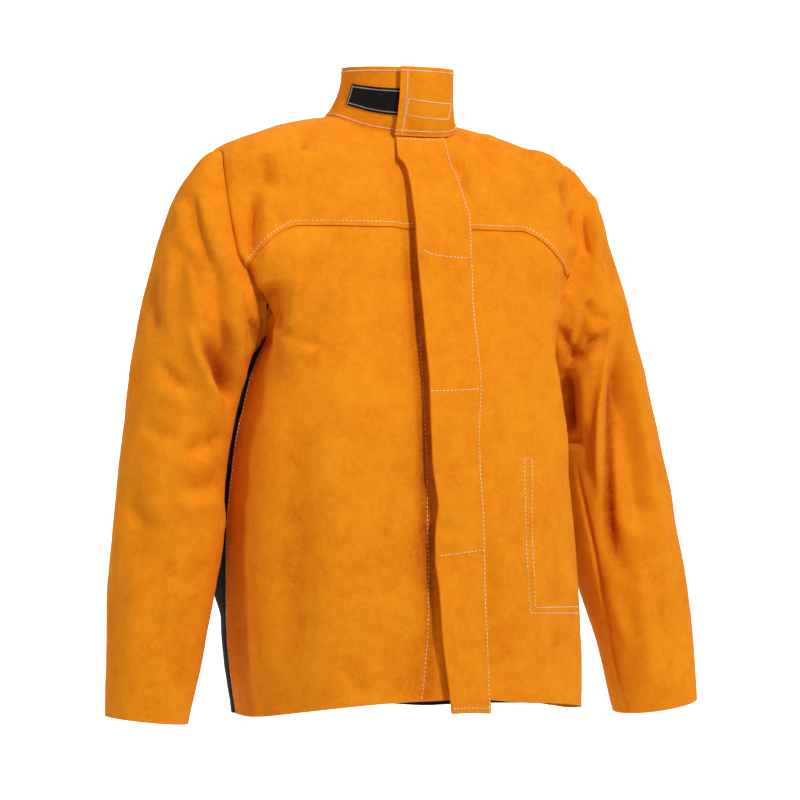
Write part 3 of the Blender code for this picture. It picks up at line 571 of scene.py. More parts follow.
def pixelOf(points):
    # Where points show in the photograph, in pixels from its top left corner
    rel = points - aim
    depth = 1 - (rel @ toCamera) / view["distance"]
    across = rel @ toRight / depth / view["pixel"]
    down = -rel[..., 2] / depth / view["pixel"]
    return np.stack([across, down], axis=-1) + view["frame"] / 2


def smoothPath(path, steps=8):
    # A path of a few points, rounded between them
    path = np.array(path, float)
    at = np.linspace(0, len(path) - 1, (len(path) - 1) * steps + 1)
    return np.stack([smoothAt(path[:, k], at) for k in range(path.shape[1])], axis=1)


def pathAway(places, path):
    # Signed distance from each place to a path, and the share of the path's length there
    path = smoothPath(path)
    run = np.concatenate([[0], np.cumsum(np.linalg.norm(np.diff(path, axis=0), axis=1))])
    best = np.full(places.shape[:-1], 1e9)
    side = np.zeros_like(best)
    share = np.zeros_like(best)
    for k in range(len(path) - 1):
        line = path[k + 1] - path[k]
        rel = places - path[k]
        at = (rel @ line) / (line @ line)
        held = np.clip(at, 0, 1)
        away = np.linalg.norm(rel - held[..., None] * line, axis=-1)
        nearer = away < best
        best = np.where(nearer, away, best)
        turnTo = line[0] * rel[..., 1] - line[1] * rel[..., 0]
        side = np.where(nearer, np.sign(turnTo), side)
        reach = (run[k] + (run[k + 1] - run[k]) * at) / run[-1]
        share = np.where(nearer, reach, share)
    return best * side, share


# Folds as they show in the photograph: half width in pixels, height in millimetres (valleys are
# negative), which side of the path falls off steeply (1 right or below, -1 left or above, when
# walking along it), and the path in pixels
bodyPhotoFolds = (
    (5, -3.2, 0, ((254, 194), (253, 222), (251, 262))),
    (9, 2.2, 0, ((266, 186), (268, 220), (262, 262))),
    (8, -2.4, 0, ((262, 150), (268, 172), (270, 190))),
    (7, -2.6, 0, ((315, 129), (308, 139), (303, 152))),
    (8, 1.8, 0, ((322, 132), (320, 150), (316, 170))),
    (6, -1.6, 0, ((271, 205), (277, 216), (284, 226))),
    (7, -1.4, 0, ((219, 148), (236, 150), (252, 140))),
    (10, 3.4, 1, ((300, 268), (296, 290), (291, 312), (287, 334))),
    (13, -4.4, 0, ((268, 285), (274, 305), (279, 328))),
    (5, -1.8, 0, ((274, 322), (284, 331), (292, 334))),
    (6, -1.2, 0, ((298, 338), (310, 343), (324, 346))),
    (7, 1.0, 0, ((300, 350), (312, 356), (326, 360))),
    (5, -2.2, 0, ((457, 129), (463, 134), (470, 141))),
    (6, -2.2, 0, ((472, 136), (488, 152), (507, 171))),
    (8, 1.6, 0, ((480, 132), (498, 150), (518, 168))),
    (6, -2.0, 0, ((518, 150), (530, 158), (542, 168))),
    (8, 1.4, 0, ((528, 146), (542, 156), (556, 168))),
    (6, -2.6, 0, ((562, 180), (567, 192), (570, 208))),
    (6, -2.4, 0, ((571, 210), (578, 226), (586, 246))),
    (8, 1.8, 0, ((552, 196), (553, 220), (553, 244))),
    (5, -2.0, 0, ((457, 158), (463, 176), (468, 196))),
    (8, 2.6, 1, ((551, 262), (552, 290), (556, 322))),
    (8, -2.2, 0, ((562, 270), (562, 292), (562, 312))),
    (18, 2.6, -1, ((350, 300), (346, 400), (340, 520), (332, 690))),
    (20, -2.4, 0, ((304, 400), (298, 540), (290, 700))),
    (16, 1.4, 0, ((262, 470), (256, 560), (262, 680))),
    (12, -1.2, 0, ((384, 420), (386, 520), (380, 640))),
    (9, -1.2, 0, ((340, 660), (356, 684), (372, 702))),
    (12, 1.2, 0, ((498, 520), (504, 600), (506, 696))),
    (12, -1.3, 0, ((552, 480), (556, 580), (556, 690))),
    (10, 1.2, 0, ((520, 300), (528, 380), (534, 450))),
    (9, -1.0, 0, ((380, 650), (392, 676), (398, 700))),
    (6, -2.0, 0, ((411, 236), (420, 329), (424, 388), (426, 466), (431, 590), (431, 652), (430, 703))),
)
rightSleevePhotoFolds = (
    (9, -3.0, -1, ((190, 192), (196, 220), (205, 250), (213, 272))),
    (9, 2.4, 0, ((176, 200), (184, 230), (192, 262))),
    (8, -2.6, 0, ((155, 262), (152, 300), (154, 338))),
    (8, 1.8, 0, ((172, 250), (171, 300), (172, 345))),
    (7, -2.0, 0, ((186, 246), (196, 270), (202, 292))),
    (6, 2.4, -1, ((188, 322), (194, 344), (205, 366), (216, 390), (230, 416))),
    (9, -5.6, 0, ((204, 338), (214, 358), (225, 380), (233, 402))),
    (6, -2.4, 0, ((222, 322), (225, 344), (229, 364))),
    (7, 1.8, 0, ((234, 318), (241, 340), (246, 362))),
    (6, -2.6, 0, ((254, 322), (258, 340), (262, 356))),
    (6, -2.4, 0, ((262, 300), (266, 322), (268, 344))),
    (7, -1.6, 0, ((158, 360), (172, 378), (190, 392))),
    (9, 1.4, 0, ((152, 382), (168, 398), (190, 410))),
    (9, -1.6, 0, ((140, 420), (158, 432), (180, 436))),
    (8, -1.8, 0, ((222, 430), (206, 444), (186, 450))),
    (10, 1.6, 0, ((224, 448), (206, 462), (180, 470))),
    (9, -2.0, 0, ((224, 478), (204, 486), (184, 486))),
    (9, 1.4, 0, ((222, 500), (200, 508), (176, 506))),
    (9, -1.4, 0, ((124, 500), (140, 520), (164, 530))),
    (12, -1.4, 0, ((176, 540), (164, 590), (160, 650))),
    (13, 1.5, 0, ((146, 540), (136, 600), (132, 690))),
    (10, -1.2, 0, ((190, 600), (184, 650), (178, 700))),
    (8, -1.2, 0, ((210, 560), (196, 576), (180, 584))),
)
leftSleevePhotoFolds = (
    (4, -2.6, -1, ((583, 216), (585, 236), (590, 256))),
    (5, 2.2, 0, ((590, 190), (594, 220), (598, 250))),
    (7, -1.8, 0, ((604, 236), (612, 262), (616, 290))),
    (6, 3.4, 1, ((608, 300), (607, 340), (603, 374), (598, 414), (597, 462), (600, 494))),
    (7, -5.4, 0, ((617, 352), (612, 396), (609, 440), (608, 500), (612, 560))),
    (6, -3.4, 0, ((598, 334), (589, 348), (577, 362))),
    (6, -2.8, 0, ((560, 328), (567, 346), (576, 364))),
    (6, 2.2, 0, ((606, 322), (598, 330), (588, 336))),
    (8, -5.6, 0, ((565, 372), (566, 402), (568, 434))),
    (6, 1.8, 0, ((581, 372), (583, 402), (585, 432))),
    (4, -1.8, 0, ((563, 441), (572, 442), (582, 440))),
    (6, -1.6, 0, ((585, 300), (592, 312), (602, 322))),
    (8, 1.4, 0, ((634, 380), (642, 430), (650, 480))),
    (9, -1.6, 0, ((630, 500), (650, 510), (668, 512))),
    (9, 1.4, 0, ((622, 530), (646, 536), (672, 534))),
    (9, -1.8, 0, ((612, 520), (616, 548), (628, 574))),
    (8, -1.4, 0, ((622, 580), (648, 580), (676, 568))),
    (10, 1.6, 0, ((636, 560), (644, 620), (650, 690))),
    (12, -1.5, 0, ((664, 580), (668, 640), (672, 694))),
    (8, 1.5, 0, ((606, 560), (616, 610), (628, 650))),
    (2.0, -1.6, 0, ((577, 469), (589, 526), (596, 559), (608, 618), (612, 650), (619, 679), (627, 712))),
)


foldLook = {
    "strength": 2.6, "steepSide": 1.7, "gentleSide": 0.75, "end": 0.10, "endEase": 0.35,
    "seenFrom": 0.02, "seenEase": 0.30,
}


def photoFolds(points, normals, rows):
    # Height of the folds that show in the photograph, on what faces it
    pixels = pixelOf(points)
    facing = ramp((normals @ toCamera - foldLook["seenFrom"]) / foldLook["seenEase"])
    end, ease = foldLook["end"], foldLook["endEase"]
    rise = np.zeros(points.shape[:-1])
    for half, height, steep, path in rows:
        away, share = pathAway(pixels, path)
        other = np.where(steep == 0, 1.0, foldLook["gentleSide"])
        away = away * np.where(away * steep > 0, foldLook["steepSide"], other)
        ends = ramp((share + end) / ease) * ramp((1 + end - share) / ease)
        rise += height * 0.001 * foldLook["strength"] * np.exp(-((away / half) ** 2)) * ends
    return rise * facing


unevenness = {"soft": 0.0013, "softSize": 0.060, "fine": 0.00045, "fineSize": 0.017, "shift": 7}


def uneven(points):
    # The hide's own unevenness, the same wherever two layers lie on each other
    soft, fine = 1 / unevenness["softSize"], 1 / unevenness["fineSize"]
    rise = [
        unevenness["soft"] * noise.noise(Vector(p * soft))
        + unevenness["fine"] * noise.noise(Vector(p * fine + unevenness["shift"]))
        for p in points.reshape(-1, 3)
    ]
    return np.array(rise).reshape(points.shape[:-1])


# How seams are made: leather laps over what it is sewn to, and the armhole seams roll inwards; the last number
# sets the painted shade beside and under the flap
seam = {
    "lap": 0.0020, "under": 0.16, "underAngle": 2.4, "ease": 0.010, "roll": 0.0024,
    "rollReach": 0.0036, "crown": 0.006, "underFlapShade": 0.6,
}
cells = {"plain": 0.0028, "fine": 0.0011, "fineReach": 0.010, "samples": 2000}


def shares(length, fineStart=True, fineEnd=True):
    # Places along a length as shares, closer together near the ends that are worked finely
    x = np.linspace(0, length, cells["samples"])
    size = np.full(cells["samples"], cells["plain"])
    slim = cells["plain"] - cells["fine"]
    if fineStart:
        size -= slim * np.exp(-((x / cells["fineReach"]) ** 2))
    if fineEnd:
        size -= slim * np.exp(-(((length - x) / cells["fineReach"]) ** 2))
    run = np.concatenate([[0], np.cumsum(length / (cells["samples"] - 1) / size[1:])])
    return np.interp(np.linspace(0, run[-1], int(round(run[-1])) + 1), run, x) / length


def pick(edge, share):
    # Values of an evenly spaced edge at shares of it
    at = np.asarray(share) * (len(edge) - 1)
    return np.stack([np.interp(at, np.arange(len(edge)), edge[:, k]) for k in range(edge.shape[1])], axis=-1)


def evenly(places, count=240):
    # The same places, spaced evenly on the garment
    points = pulledBody(places[:, 0], places[:, 1])
    run = np.concatenate([[0], np.cumsum(np.linalg.norm(np.diff(points, axis=0), axis=1))])
    at = np.interp(np.linspace(0, run[-1], count), run, np.linspace(0, 1, len(places)))
    return pick(places, at)


def patch(bottom, top, left, right, u, v):
    # Coons patch through four edges of places
    u, v = u[None, :, None], v[:, None, None]
    ruled = (1 - v) * bottom[None] + v * top[None] + (1 - u) * left[:, None] + u * right[:, None]
    low = (1 - u) * (1 - v) * bottom[0] + u * (1 - v) * bottom[-1]
    return ruled - (low + (1 - u) * v * top[0] + u * v * top[-1])


frontCorner, backCorner = sleeve["yokeArc"]
yokeArch = armholePlaces(loopStretch(backCorner, frontCorner + len(armholeRows), 239)[::-1])
frontArm = armholePlaces(loopStretch(frontCorner, sleeve["pitPoint"], 119)[::-1])
backArm = armholePlaces(loopStretch(sleeve["pitPoint"], backCorner, 119))
print("armhole seams laid out")


def frontSeam(edgeAcross, sign):
    # Places of a front yoke seam, from the middle edge to the armhole
    corner = yokeArch[0]
    start = angleAt(edgeAcross, torso["yokeDrop"]) * sign
    share = np.linspace(0, 1, 60)
    angles = start + (corner[0] - start) * share
    drops = seamDrop(share, sign)
    cornerDrop = -armholePoints(np.array([float(frontCorner)]))[0, 2]
    drops = drops + (cornerDrop - drops[-1]) * ramp(share)
    places = np.array([(a, levelOf(a, d)) for a, d in zip(angles, drops)])
    places[-1] = corner
    return evenly(places) * (sign, 1)


def backSeam():
    # Places of the back yoke seam, from the left armhole round to the right one
    corner = yokeArch[-1]
    angles = np.linspace(corner[0], 360 - corner[0], 80)
    near = np.abs(angles - 180) / (180 - corner[0])
    cornerDrop = -armholePoints(np.array([float(backCorner)]))[0, 2]
    drops = torso["backYokeDrop"] + (cornerDrop - torso["backYokeDrop"]) * ramp((near - 0.5) / 0.5)
    places = np.array([(a, levelOf(a, d)) for a, d in zip(angles, drops)])
    places[0], places[-1] = corner, (360 - corner[0], corner[1])
    return places


# Sizes of the fronts and the back in metres; of a panel's outer edge the rest is armhole
panel = {"front": 0.24, "back": 0.62, "height": 0.56, "sideShare": 0.75, "rounding": 0.0004, "stitchIn": 0.0045}
frontEdge = {-1: closing["underEdge"], 1: closing["underEdge"] + 0.004}


def outerEdge(arm, v):
    # A side seam from the hem up to the armhole, then up the armhole
    pit, share = arm[0], panel["sideShare"]
    rise = np.clip(v / share, 0, 1)
    angles = torso["sideSeamAngle"] + (pit[0] - torso["sideSeamAngle"]) * ramp(rise)
    side = np.stack([angles, pit[1] * rise], axis=1)
    return np.where((v < share)[:, None], side, pick(arm, np.clip((v - share) / (1 - share), 0, 1)))


def skin(places, folds, lowerFront=False, sink=0.0):
    # The finished outer face at places, with every fold, the seam's roll and how far it lies under
    angle, level = places[..., 0], places[..., 1]
    plain = body(angle, level, lowerFront)
    normal = outward(pulledBody, angle, level)
    rise = photoFolds(plain, normal, folds) + uneven(plain)
    return plain + normal * (rise - sink)[..., None], normal, rise


def ringOf(sign):
    # The line of an armhole seam on the finished garment, before it rolls inwards
    order = np.concatenate([yokeArch[:-1], backArm[::-1][:-1], frontArm[:-1]]) * (sign, 1)
    return skin(order, bodyPhotoFolds)[:2]


armRings = {sign: ringOf(sign) for sign in (1, -1)}


def lineAway(points, line):
    # How far each point lies from the nearest point of a line, worked in portions
    return np.concatenate([
        np.linalg.norm(part[:, None] - line[None], axis=-1).min(1)
        for part in np.array_split(points.reshape(-1, 3), max(1, points[..., 0].size // 2000))
    ]).reshape(points.shape[:-1])


def rolled(points, normals):
    # Turns the edges at both armholes inwards, as a closed seam does
    moved = points.copy()
    for sign, (ring, ringNormals) in armRings.items():
        near = (points[..., 0] * sign > 0.10) & (points[..., 2] > -0.32)
        away = lineAway(points[near], ring[::2])
        moved[near] -= normals[near] * (seam["roll"] * np.exp(-((away / seam["rollReach"]) ** 2)))[:, None]
    return moved


def frontPanel(sign):
    # A front from hem to yoke seam, and on under the yoke
    edgeAcross, lowerFront = frontEdge[sign], sign < 0
    u, v = shares(panel["front"]), shares(panel["height"])
    top = frontSeam(edgeAcross, sign)
    outer = outerEdge(frontArm, v) * (sign, 1)
    drops = np.interp(v, (0, 1), (torso["bodyLength"] * levelRows[0][0], torso["yokeDrop"]))
    inner = np.array([(angleAt(edgeAcross, d), levelOf(0.0, d)) for d in drops])
    inner[0, 1], inner[-1] = 0.0, top[0]
    tucked = np.stack([0 * u, seam["under"] * ramp((1 - u) / 0.06)], axis=1)
    rise = ramp((v - 0.85) / 0.15)[:, None]
    hem = np.stack([np.interp(u, (0, 1), (inner[0, 0], outer[0, 0])), 0 * u], axis=1)
    places = patch(hem, pick(top, u) + tucked, inner + rise * tucked[0], outer, u, v)
    line = body(top[:, 0], top[:, 1])
    order = np.argsort(top[:, 0])
    above = places[..., 1] > np.interp(places[..., 0], top[order, 0], top[order, 1])
    away = lineAway(body(places[..., 0], places[..., 1]), line)
    sink = seam["lap"] * np.where(above, 1, 1 - ramp(away / seam["ease"]))
    points, normals, relief = skin(places, bodyPhotoFolds, lowerFront, sink)
    # Painted shade: the valley beside and under the flap is darkened through the relief attribute
    if lowerFront:
        relief = relief + seam["underFlapShade"] * closingDip(points[..., 0], -points[..., 2])
    return rolled(points, normals), relief


def backPanel():
    # The cotton back, tucked under the fronts and the yoke
    u, v = shares(panel["back"]), shares(panel["height"])
    left = outerEdge(backArm, v)
    seamAngles = left[:, 0].copy()
    taper = 1 - ramp((v - 0.60) / 0.13)
    left[:, 0] -= seam["underAngle"] * taper
    right = np.stack([360 - left[:, 0], left[:, 1]], axis=1)
    tucked = seam["under"] * ramp(u / 0.04) * ramp((1 - u) / 0.04)
    seamPlaces = backSeam()
    top = pick(seamPlaces, u) + np.stack([0 * u, tucked], axis=1)
    hem = np.stack([np.interp(u, (0, 1), (left[0, 0], right[0, 0])), 0 * u], axis=1)
    places = patch(hem, top, left, right, u, v)
    angles, levels = places[..., 0], places[..., 1]
    across = math.radians(1) * torso["halfWidth"]
    sideAway = np.minimum(angles - seamAngles[:, None], 360 - seamAngles[:, None] - angles) * across
    above = levels > np.interp(angles, seamPlaces[:, 0], seamPlaces[:, 1])
    topAway = lineAway(body(angles, levels), body(seamPlaces[:, 0], seamPlaces[:, 1]))
    topAway = np.where(above, 0, topAway)
    bySide = (1 - ramp(sideAway / seam["ease"])) * taper[:, None]
    sink = seam["lap"] * np.maximum(bySide, 1 - ramp(topAway / seam["ease"]))
    points, normals, relief = skin(places, bodyPhotoFolds, False, sink)
    return rolled(points, normals), relief


# Sizes of the yoke in metres, and which shares of its top edges are neck and shoulder line
yokeCut = {
    "line": 0.12, "frontNeck": 0.09, "frontHeight": 0.15, "backNeck": 0.10, "backHeight": 0.17,
    "neckShare": 6 / 11, "lineShare": 5 / 11, "backLineShare": 5 / 18, "stitchIn": 0.0055,
}


def shoulderLine():
    # Places from the neck out to the armhole, along the top of the shoulder
    top = pick(yokeArch, np.array([0.5]))[0]
    return np.linspace((torso["shoulderLineAngle"], float(torso["neckLevel"])), top, 60)


def frontYoke(sign):
    # One front of the yoke, seam to shoulder line, middle edge to armhole
    neckU, lineU = shares(yokeCut["frontNeck"], True, False), shares(yokeCut["line"], False, True)
    v = shares(yokeCut["frontHeight"])
    neckShare, lineShare = yokeCut["neckShare"], yokeCut["lineShare"]
    u = np.concatenate([neckU * neckShare, neckShare + lineU[1:] * lineShare])
    edge = frontSeam(frontEdge[sign], sign) * (sign, 1)
    line = shoulderLine()
    middle = np.linspace(edge[0], (0, torso["neckLevel"]), len(v) * 4)
    middle[:, 0] = [angleAcross(frontEdge[sign], level) * sign for level in middle[:, 1]]
    neck = np.linspace(middle[-1], line[0], 60)
    top = np.concatenate([pick(neck, neckU), pick(line, lineU)[1:]])
    flat = [laidFlat(part) for part in (pick(edge, u), top, pick(middle, v), pick(yokeArch, v / 2))]
    places = liftedBack(patch(*flat, u, v)) * (sign, 1)
    points, normals, relief = skin(places, bodyPhotoFolds, sign < 0)
    return rolled(points, normals), relief


def backYoke():
    # The back of the yoke, seam up to the shoulder lines and the neck
    lineU, neckU = shares(yokeCut["line"], False, True), shares(yokeCut["backNeck"], False, False)
    v = shares(yokeCut["backHeight"])
    line = shoulderLine()
    neck = np.linspace(line[0], (360 - line[0][0], torso["neckLevel"]), 60)
    far = lambda places: np.stack([360 - places[:, 0], places[:, 1]], axis=1)
    lines = pick(line, lineU)
    top = np.concatenate([lines[::-1], pick(neck, neckU)[1:], far(lines)[1:]])
    part = yokeCut["backLineShare"]
    middle = part + neckU[1:] * (1 - 2 * part)
    u = np.concatenate([(1 - lineU[::-1]) * part, middle, 1 - part + lineU[1:] * part])
    arch = pick(yokeArch, 1 - v / 2)
    edges = (pick(backSeam(), u), top, arch, far(arch))
    places = liftedBack(patch(*[laidFlat(edge) for edge in edges], u, v))
    points, normals, relief = skin(places, bodyPhotoFolds)
    return rolled(points, normals), relief


sleeveCut = {
    "around": 200, "length": 0.62, "closer": 1.15, "squash": 1.1, "evenFrom": 0.5, "held": 0.22,
    "crownAt": 0.035, "crownHalf": 0.045, "foldsFrom": 0.05,
}


def sleeveGrid(table, sign, folds, photoRows):
    # A sleeve from the armhole to the cuff; it starts on the same seam line as the body
    around = np.linspace(0, 1, sleeveCut["around"], endpoint=False)
    closed = lambda values: np.concatenate([values, values[:1]])
    mirror = np.array([sign, 1, 1])
    ring, ringNormals = (pick(closed(values), around) * mirror for values in armRings[sign])
    top, pit = armholePoints(np.array([0.0, float(sleeve["pitPoint"])]))
    axis = (top - pit) / np.linalg.norm(top - pit)
    rel = ring - (top + pit) / 2
    squash = sleeve["armholeWidth"] / sleeve["armholeDepth"] * sleeveCut["squash"]
    angle = np.degrees(np.arctan2(-rel[:, 1] + ring.mean(0)[1], rel @ axis * squash))
    angle = np.unwrap(angle, period=360)
    even = angle[0] + np.sign(angle[-1] - angle[0]) * around * 360
    base = plainSleeve(table, angle, np.zeros(len(angle)))
    grid, relief = [], []
    for share in shares(sleeveCut["length"]) ** sleeveCut["closer"]:
        mix = ramp(share / sleeveCut["evenFrom"])
        at, down = angle * (1 - mix) + even * mix, np.full(len(angle), share)
        hold = 1 - ramp(share / sleeveCut["held"])
        points = (foldedSleeve(table, at, down, folds) + (ring - base) * hold) * mirror
        normal = outward(lambda a, b: plainSleeve(table, a, b), at, down)
        start = np.exp(-((share * sleeveCut["length"] / seam["rollReach"]) ** 2))
        bulge = np.exp(-(((share - sleeveCut["crownAt"]) / sleeveCut["crownHalf"]) ** 2))
        crown = seam["crown"] * np.clip(normal[:, 2], 0, 1) * bulge
        creased = photoFolds(points, normal * mirror, photoRows) + uneven(points)
        rise = creased * ramp(share / sleeveCut["foldsFrom"]) + crown
        grid.append(points + normal * mirror * rise[:, None] - ringNormals * mirror * seam["roll"] * start)
        relief.append(rise)
    return np.array(grid), np.array(relief)


# Edges and stitching of the front flap as the photograph shows them, in pixels
flap = {
    "freeEdge": ((396, 137), (397, 146), (398.4, 157), (404.5, 163), (408, 171.5), (410.5, 185), (412, 198),
                 (415, 220), (417, 254), (421, 294), (425, 335), (429.5, 377), (430.8, 420), (432.6, 466),
                 (438.3, 504), (435.4, 535), (435.4, 563), (439.4, 590), (441.4, 626), (443.7, 652),
                 (446.8, 675), (449, 693), (451, 714)),
    "sewnEdge": ((444, 137), (447, 143), (449.5, 155), (452, 165), (458, 175), (462.4, 188.7), (466.7, 202.5),
                 (471, 215), (472, 228), (473.3, 258), (475, 306), (478, 335), (481.6, 365), (482.8, 388),
                 (481, 431), (482, 472), (485, 512), (486.2, 550), (487, 599), (489, 643), (490.3, 679),
                 (491.5, 712)),
    "lift": ((0.0, 0.2), (0.18, 1.0), (0.46, 0.5), (0.62, 0.7), (0.73, 0.4), (0.90, 0.9), (1.05, 1.4)),
    "snapBump": 0.0013, "snapReach": 0.0078, "edgeRound": 0.0012,
    "length": 0.67, "width": 0.066, "search": (-0.05, 0.065, 24),
    "sideStitch": 0.0026, "topStitch": (0.004, 0.03, 0.97), "hemStitch": (0.006, 0.06, 0.94),
    "crossStitches": (
        ((423, 250), (434, 254.5), (452, 257), (471, 258)),
        ((430, 391), (454, 390.5), (479, 389)),
        ((440, 556), (462, 553), (485, 550)),
    ),
    "folds": (
        (9, -0.8, 0, ((408, 176), (430, 186), (452, 190))),
        (12, 0.8, 0, ((420, 300), (440, 330), (462, 350))),
        (9, -0.7, 0, ((436, 470), (450, 490), (470, 500))),
        (10, 0.7, 0, ((440, 600), (458, 640), (470, 690))),
        (7, -0.9, 0, ((437, 520), (450, 530), (466, 532))),
        (10, -0.8, 0, ((452, 600), (454, 650), (462, 700))),
    ),
}


def flapGrid():
    # The front flap, hem to collar, free edge to sewn edge, lying on the lower front
    u, v = shares(flap["width"]), shares(flap["length"])
    hem = torso["bodyLength"] * levelRows[0][0]
    seat = 2 * wall["leather"] + closing["flapGap"]
    tryAcross = np.linspace(*flap["search"])
    edges = [np.array(flap[name]) for name in ("freeEdge", "sewnEdge")]
    lifts = np.array(flap["lift"])
    rows = []
    for drop in np.interp(v, (0, 1), (hem + closing["flapOverhang"], closing["flapTopDrop"])):
        onFront = min(drop, hem)
        level = levelOf(0.0, onFront)

        def lying(across, rise):
            angle = np.array([angleAcross(x, level) for x in across])
            levels = np.full(len(across), level)
            points, normals, relief = skin(np.stack([angle, levels], axis=1), flap["folds"])
            points = points + normals * rise[:, None]
            points[:, 2] -= drop - onFront
            return points, normals, relief

        seen = pixelOf(lying(tryAcross, np.full(len(tryAcross), seat))[0])
        start, end = (
            np.interp(0, seen[:, 0] - np.interp(seen[:, 1], edge[:, 1], edge[:, 0]), tryAcross) for edge in edges
        )
        parting = np.interp(drop / torso["bodyLength"], lifts[:, 0], lifts[:, 1]) * closing["closingStep"]
        rows.append(lying(start + (end - start) * u, seat + parting * (1 - u) ** 2 * belowNeck(drop)))
    points, normals, relief = (np.array(part) for part in zip(*rows))
    for number in range(1, 7):
        low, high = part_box("snap_%d" % number)
        centre = np.array((low + high) / 2)
        away = np.linalg.norm((points - centre)[..., (0, 2)], axis=-1) / flap["snapReach"]
        bump = flap["snapBump"] * (np.exp(-(away**4)) - 0.35 * np.exp(-(((away - 1.5) / 0.5) ** 2)))
        points = points + normals * bump[..., None]
    return points, relief


collarShape = {
    "length": 0.47, "height": 0.064, "round": 0.0012, "bottom": -0.035, "standOff": 0.0012, "rough": 0.7,
    "roughFrom": 0.3, "pitch": 0.0036,
    "stitches": (("top", 0.0050), ("bottom", 0.0062), ("right", 0.0085, 0.08, 0.92), ("left", 0.006)),
    "tapeBox": (
        ((408.6, 98.8), (430, 102), (451, 104)),
        ((451, 104), (448, 119.3)),
        ((406, 114.8), (427, 118.4), (448, 119.3)),
        ((408.6, 98.8), (406, 114.8)),
    ),
}


def collarGrid(angles, heights, offset):
    # The collar's outer face at angles and heights
    a, h = np.meshgrid(angles, heights)
    return collarPoints(a, h, offset + collarOffset(a))


def roughened(grid, share=1.0):
    # The band's own unevenness, straight out from the neck
    bare = grid - np.array([0, band["setBack"], 0])
    out = bare / np.linalg.norm(bare, axis=-1)[..., None] * (1, 1, 0)
    rise = uneven(grid) * collarShape["rough"] * share
    return grid + out * rise[..., None], rise


def collarSheet():
    # The stand collar from its right end round the neck to its left end
    u, v = shares(collarShape["length"]), shares(collarShape["height"])
    angles = band["underEnd"] + (band["flapEnd"] - 360 - band["underEnd"]) * u
    heights = collarShape["bottom"] + (1 - collarShape["bottom"]) * v
    away = np.clip(1 - heights / 0.5, 0, 1)[:, None] ** 2
    grid = collarGrid(angles, np.maximum(heights, 0), collarShape["standOff"] * away)
    grid[..., 2] += np.minimum(heights, 0)[:, None] * band["height"]
    return roughened(grid, ramp(v / collarShape["roughFrom"])[:, None])


def stripGrid(first, last, offset):
    # One of the collar's two tapes
    angles = np.linspace(first, last, 70)
    heights = np.linspace(strip["rise"], strip["rise"] + strip["width"], 14) / band["height"]
    grid = roughened(collarGrid(angles, heights, offset))[0]
    return grid, np.zeros(grid.shape[:2])


def pocketGrid():
    # The bag sewn inside the wearer's left front
    start = angleAt(pocket["frontEdge"], pocket["topDrop"])
    angles = np.linspace(start, torso["sideSeamAngle"] - pocket["beforeSide"], 40)
    drops = np.linspace(pocket["bottomDrop"], pocket["topDrop"], 60)
    a, d = np.meshgrid(angles, drops)
    places = np.stack([a, np.vectorize(levelOf)(a, d)], axis=-1)
    points, normals, relief = skin(places, bodyPhotoFolds, False, wall["leather"] + pocket["gap"])
    return points, relief


def facingOut(points, closed=False):
    # Unit normals of a grid, pointing away from the garment's own middle
    ends = np.concatenate([points[:, -1:], points, points[:, :1]], axis=1) if closed else points
    across = np.gradient(ends, axis=1)[:, 1:-1] if closed else np.gradient(ends, axis=1)
    normal = np.cross(across, np.gradient(points, axis=0))
    normal /= np.linalg.norm(normal, axis=-1)[..., None] + 1e-12
    middle = points.mean(1)[:, None] if closed else points * (0, 0, 1)
    return normal * np.sign(((points - middle) * normal).sum(-1).mean())


def sheetObject(name, grids, closed=False):
    # One open sheet on the points of its grids, sewn where they meet; UV in metres
    corners = [np.s_[:-1, :-1], np.s_[:-1, 1:], np.s_[1:, 1:], np.s_[1:, :-1]]
    verts, faces, uvs, reliefs = [], [], [], []
    count = 0
    for points, relief in grids:
        rows, cols = points.shape[:2]
        number = np.arange(rows * cols).reshape(rows, cols) + count
        u, v = (
            np.concatenate([[0], np.cumsum(np.linalg.norm(np.diff(points, axis=way), axis=-1).mean(1 - way))])
            for way in (1, 0)
        )
        if closed:
            number = np.concatenate([number, number[:, :1]], axis=1)
            u = np.append(u, u[-1] + np.linalg.norm(points[:, 0] - points[:, -1], axis=-1).mean())
        uv = np.stack(np.meshgrid(u, v), axis=-1)
        quads = np.stack([number[c] for c in corners], axis=-1).reshape(-1, 4)
        quadUv = np.stack([uv[c] for c in corners], axis=-2).reshape(-1, 4, 2)
        flat = points.reshape(-1, 3)
        first = np.cross(flat[quads[:, 1] - count] - flat[quads[:, 0] - count],
                         flat[quads[:, 3] - count] - flat[quads[:, 0] - count])
        if (first * facingOut(points, closed).reshape(-1, 3)[quads[:, 0] - count]).sum() < 0:
            quads, quadUv = quads[:, ::-1], quadUv[:, ::-1]
        verts.append(flat), faces.append(quads), uvs.append(quadUv), reliefs.append(relief.ravel())
        count += rows * cols
    mesh = bpy.data.meshes.new(name)
    mesh.from_pydata(np.concatenate(verts).tolist(), [], np.concatenate(faces).tolist())
    mesh.uv_layers.new(name="cloth").data.foreach_set("uv", np.concatenate(uvs).astype(np.float32).ravel())
    shade = mesh.attributes.new("relief", "FLOAT", "POINT")
    shade.data.foreach_set("value", np.concatenate(reliefs).astype(np.float32) * 1000)
    if len(grids) > 1:
        work = bmesh.new()
        work.from_mesh(mesh)
        bmesh.ops.remove_doubles(work, verts=work.verts, dist=2e-5)
        work.to_mesh(mesh)
        work.free()
    mesh.shade_smooth()
    made = bpy.data.objects.new(name, mesh)
    bpy.context.scene.collection.objects.link(made)
    return made


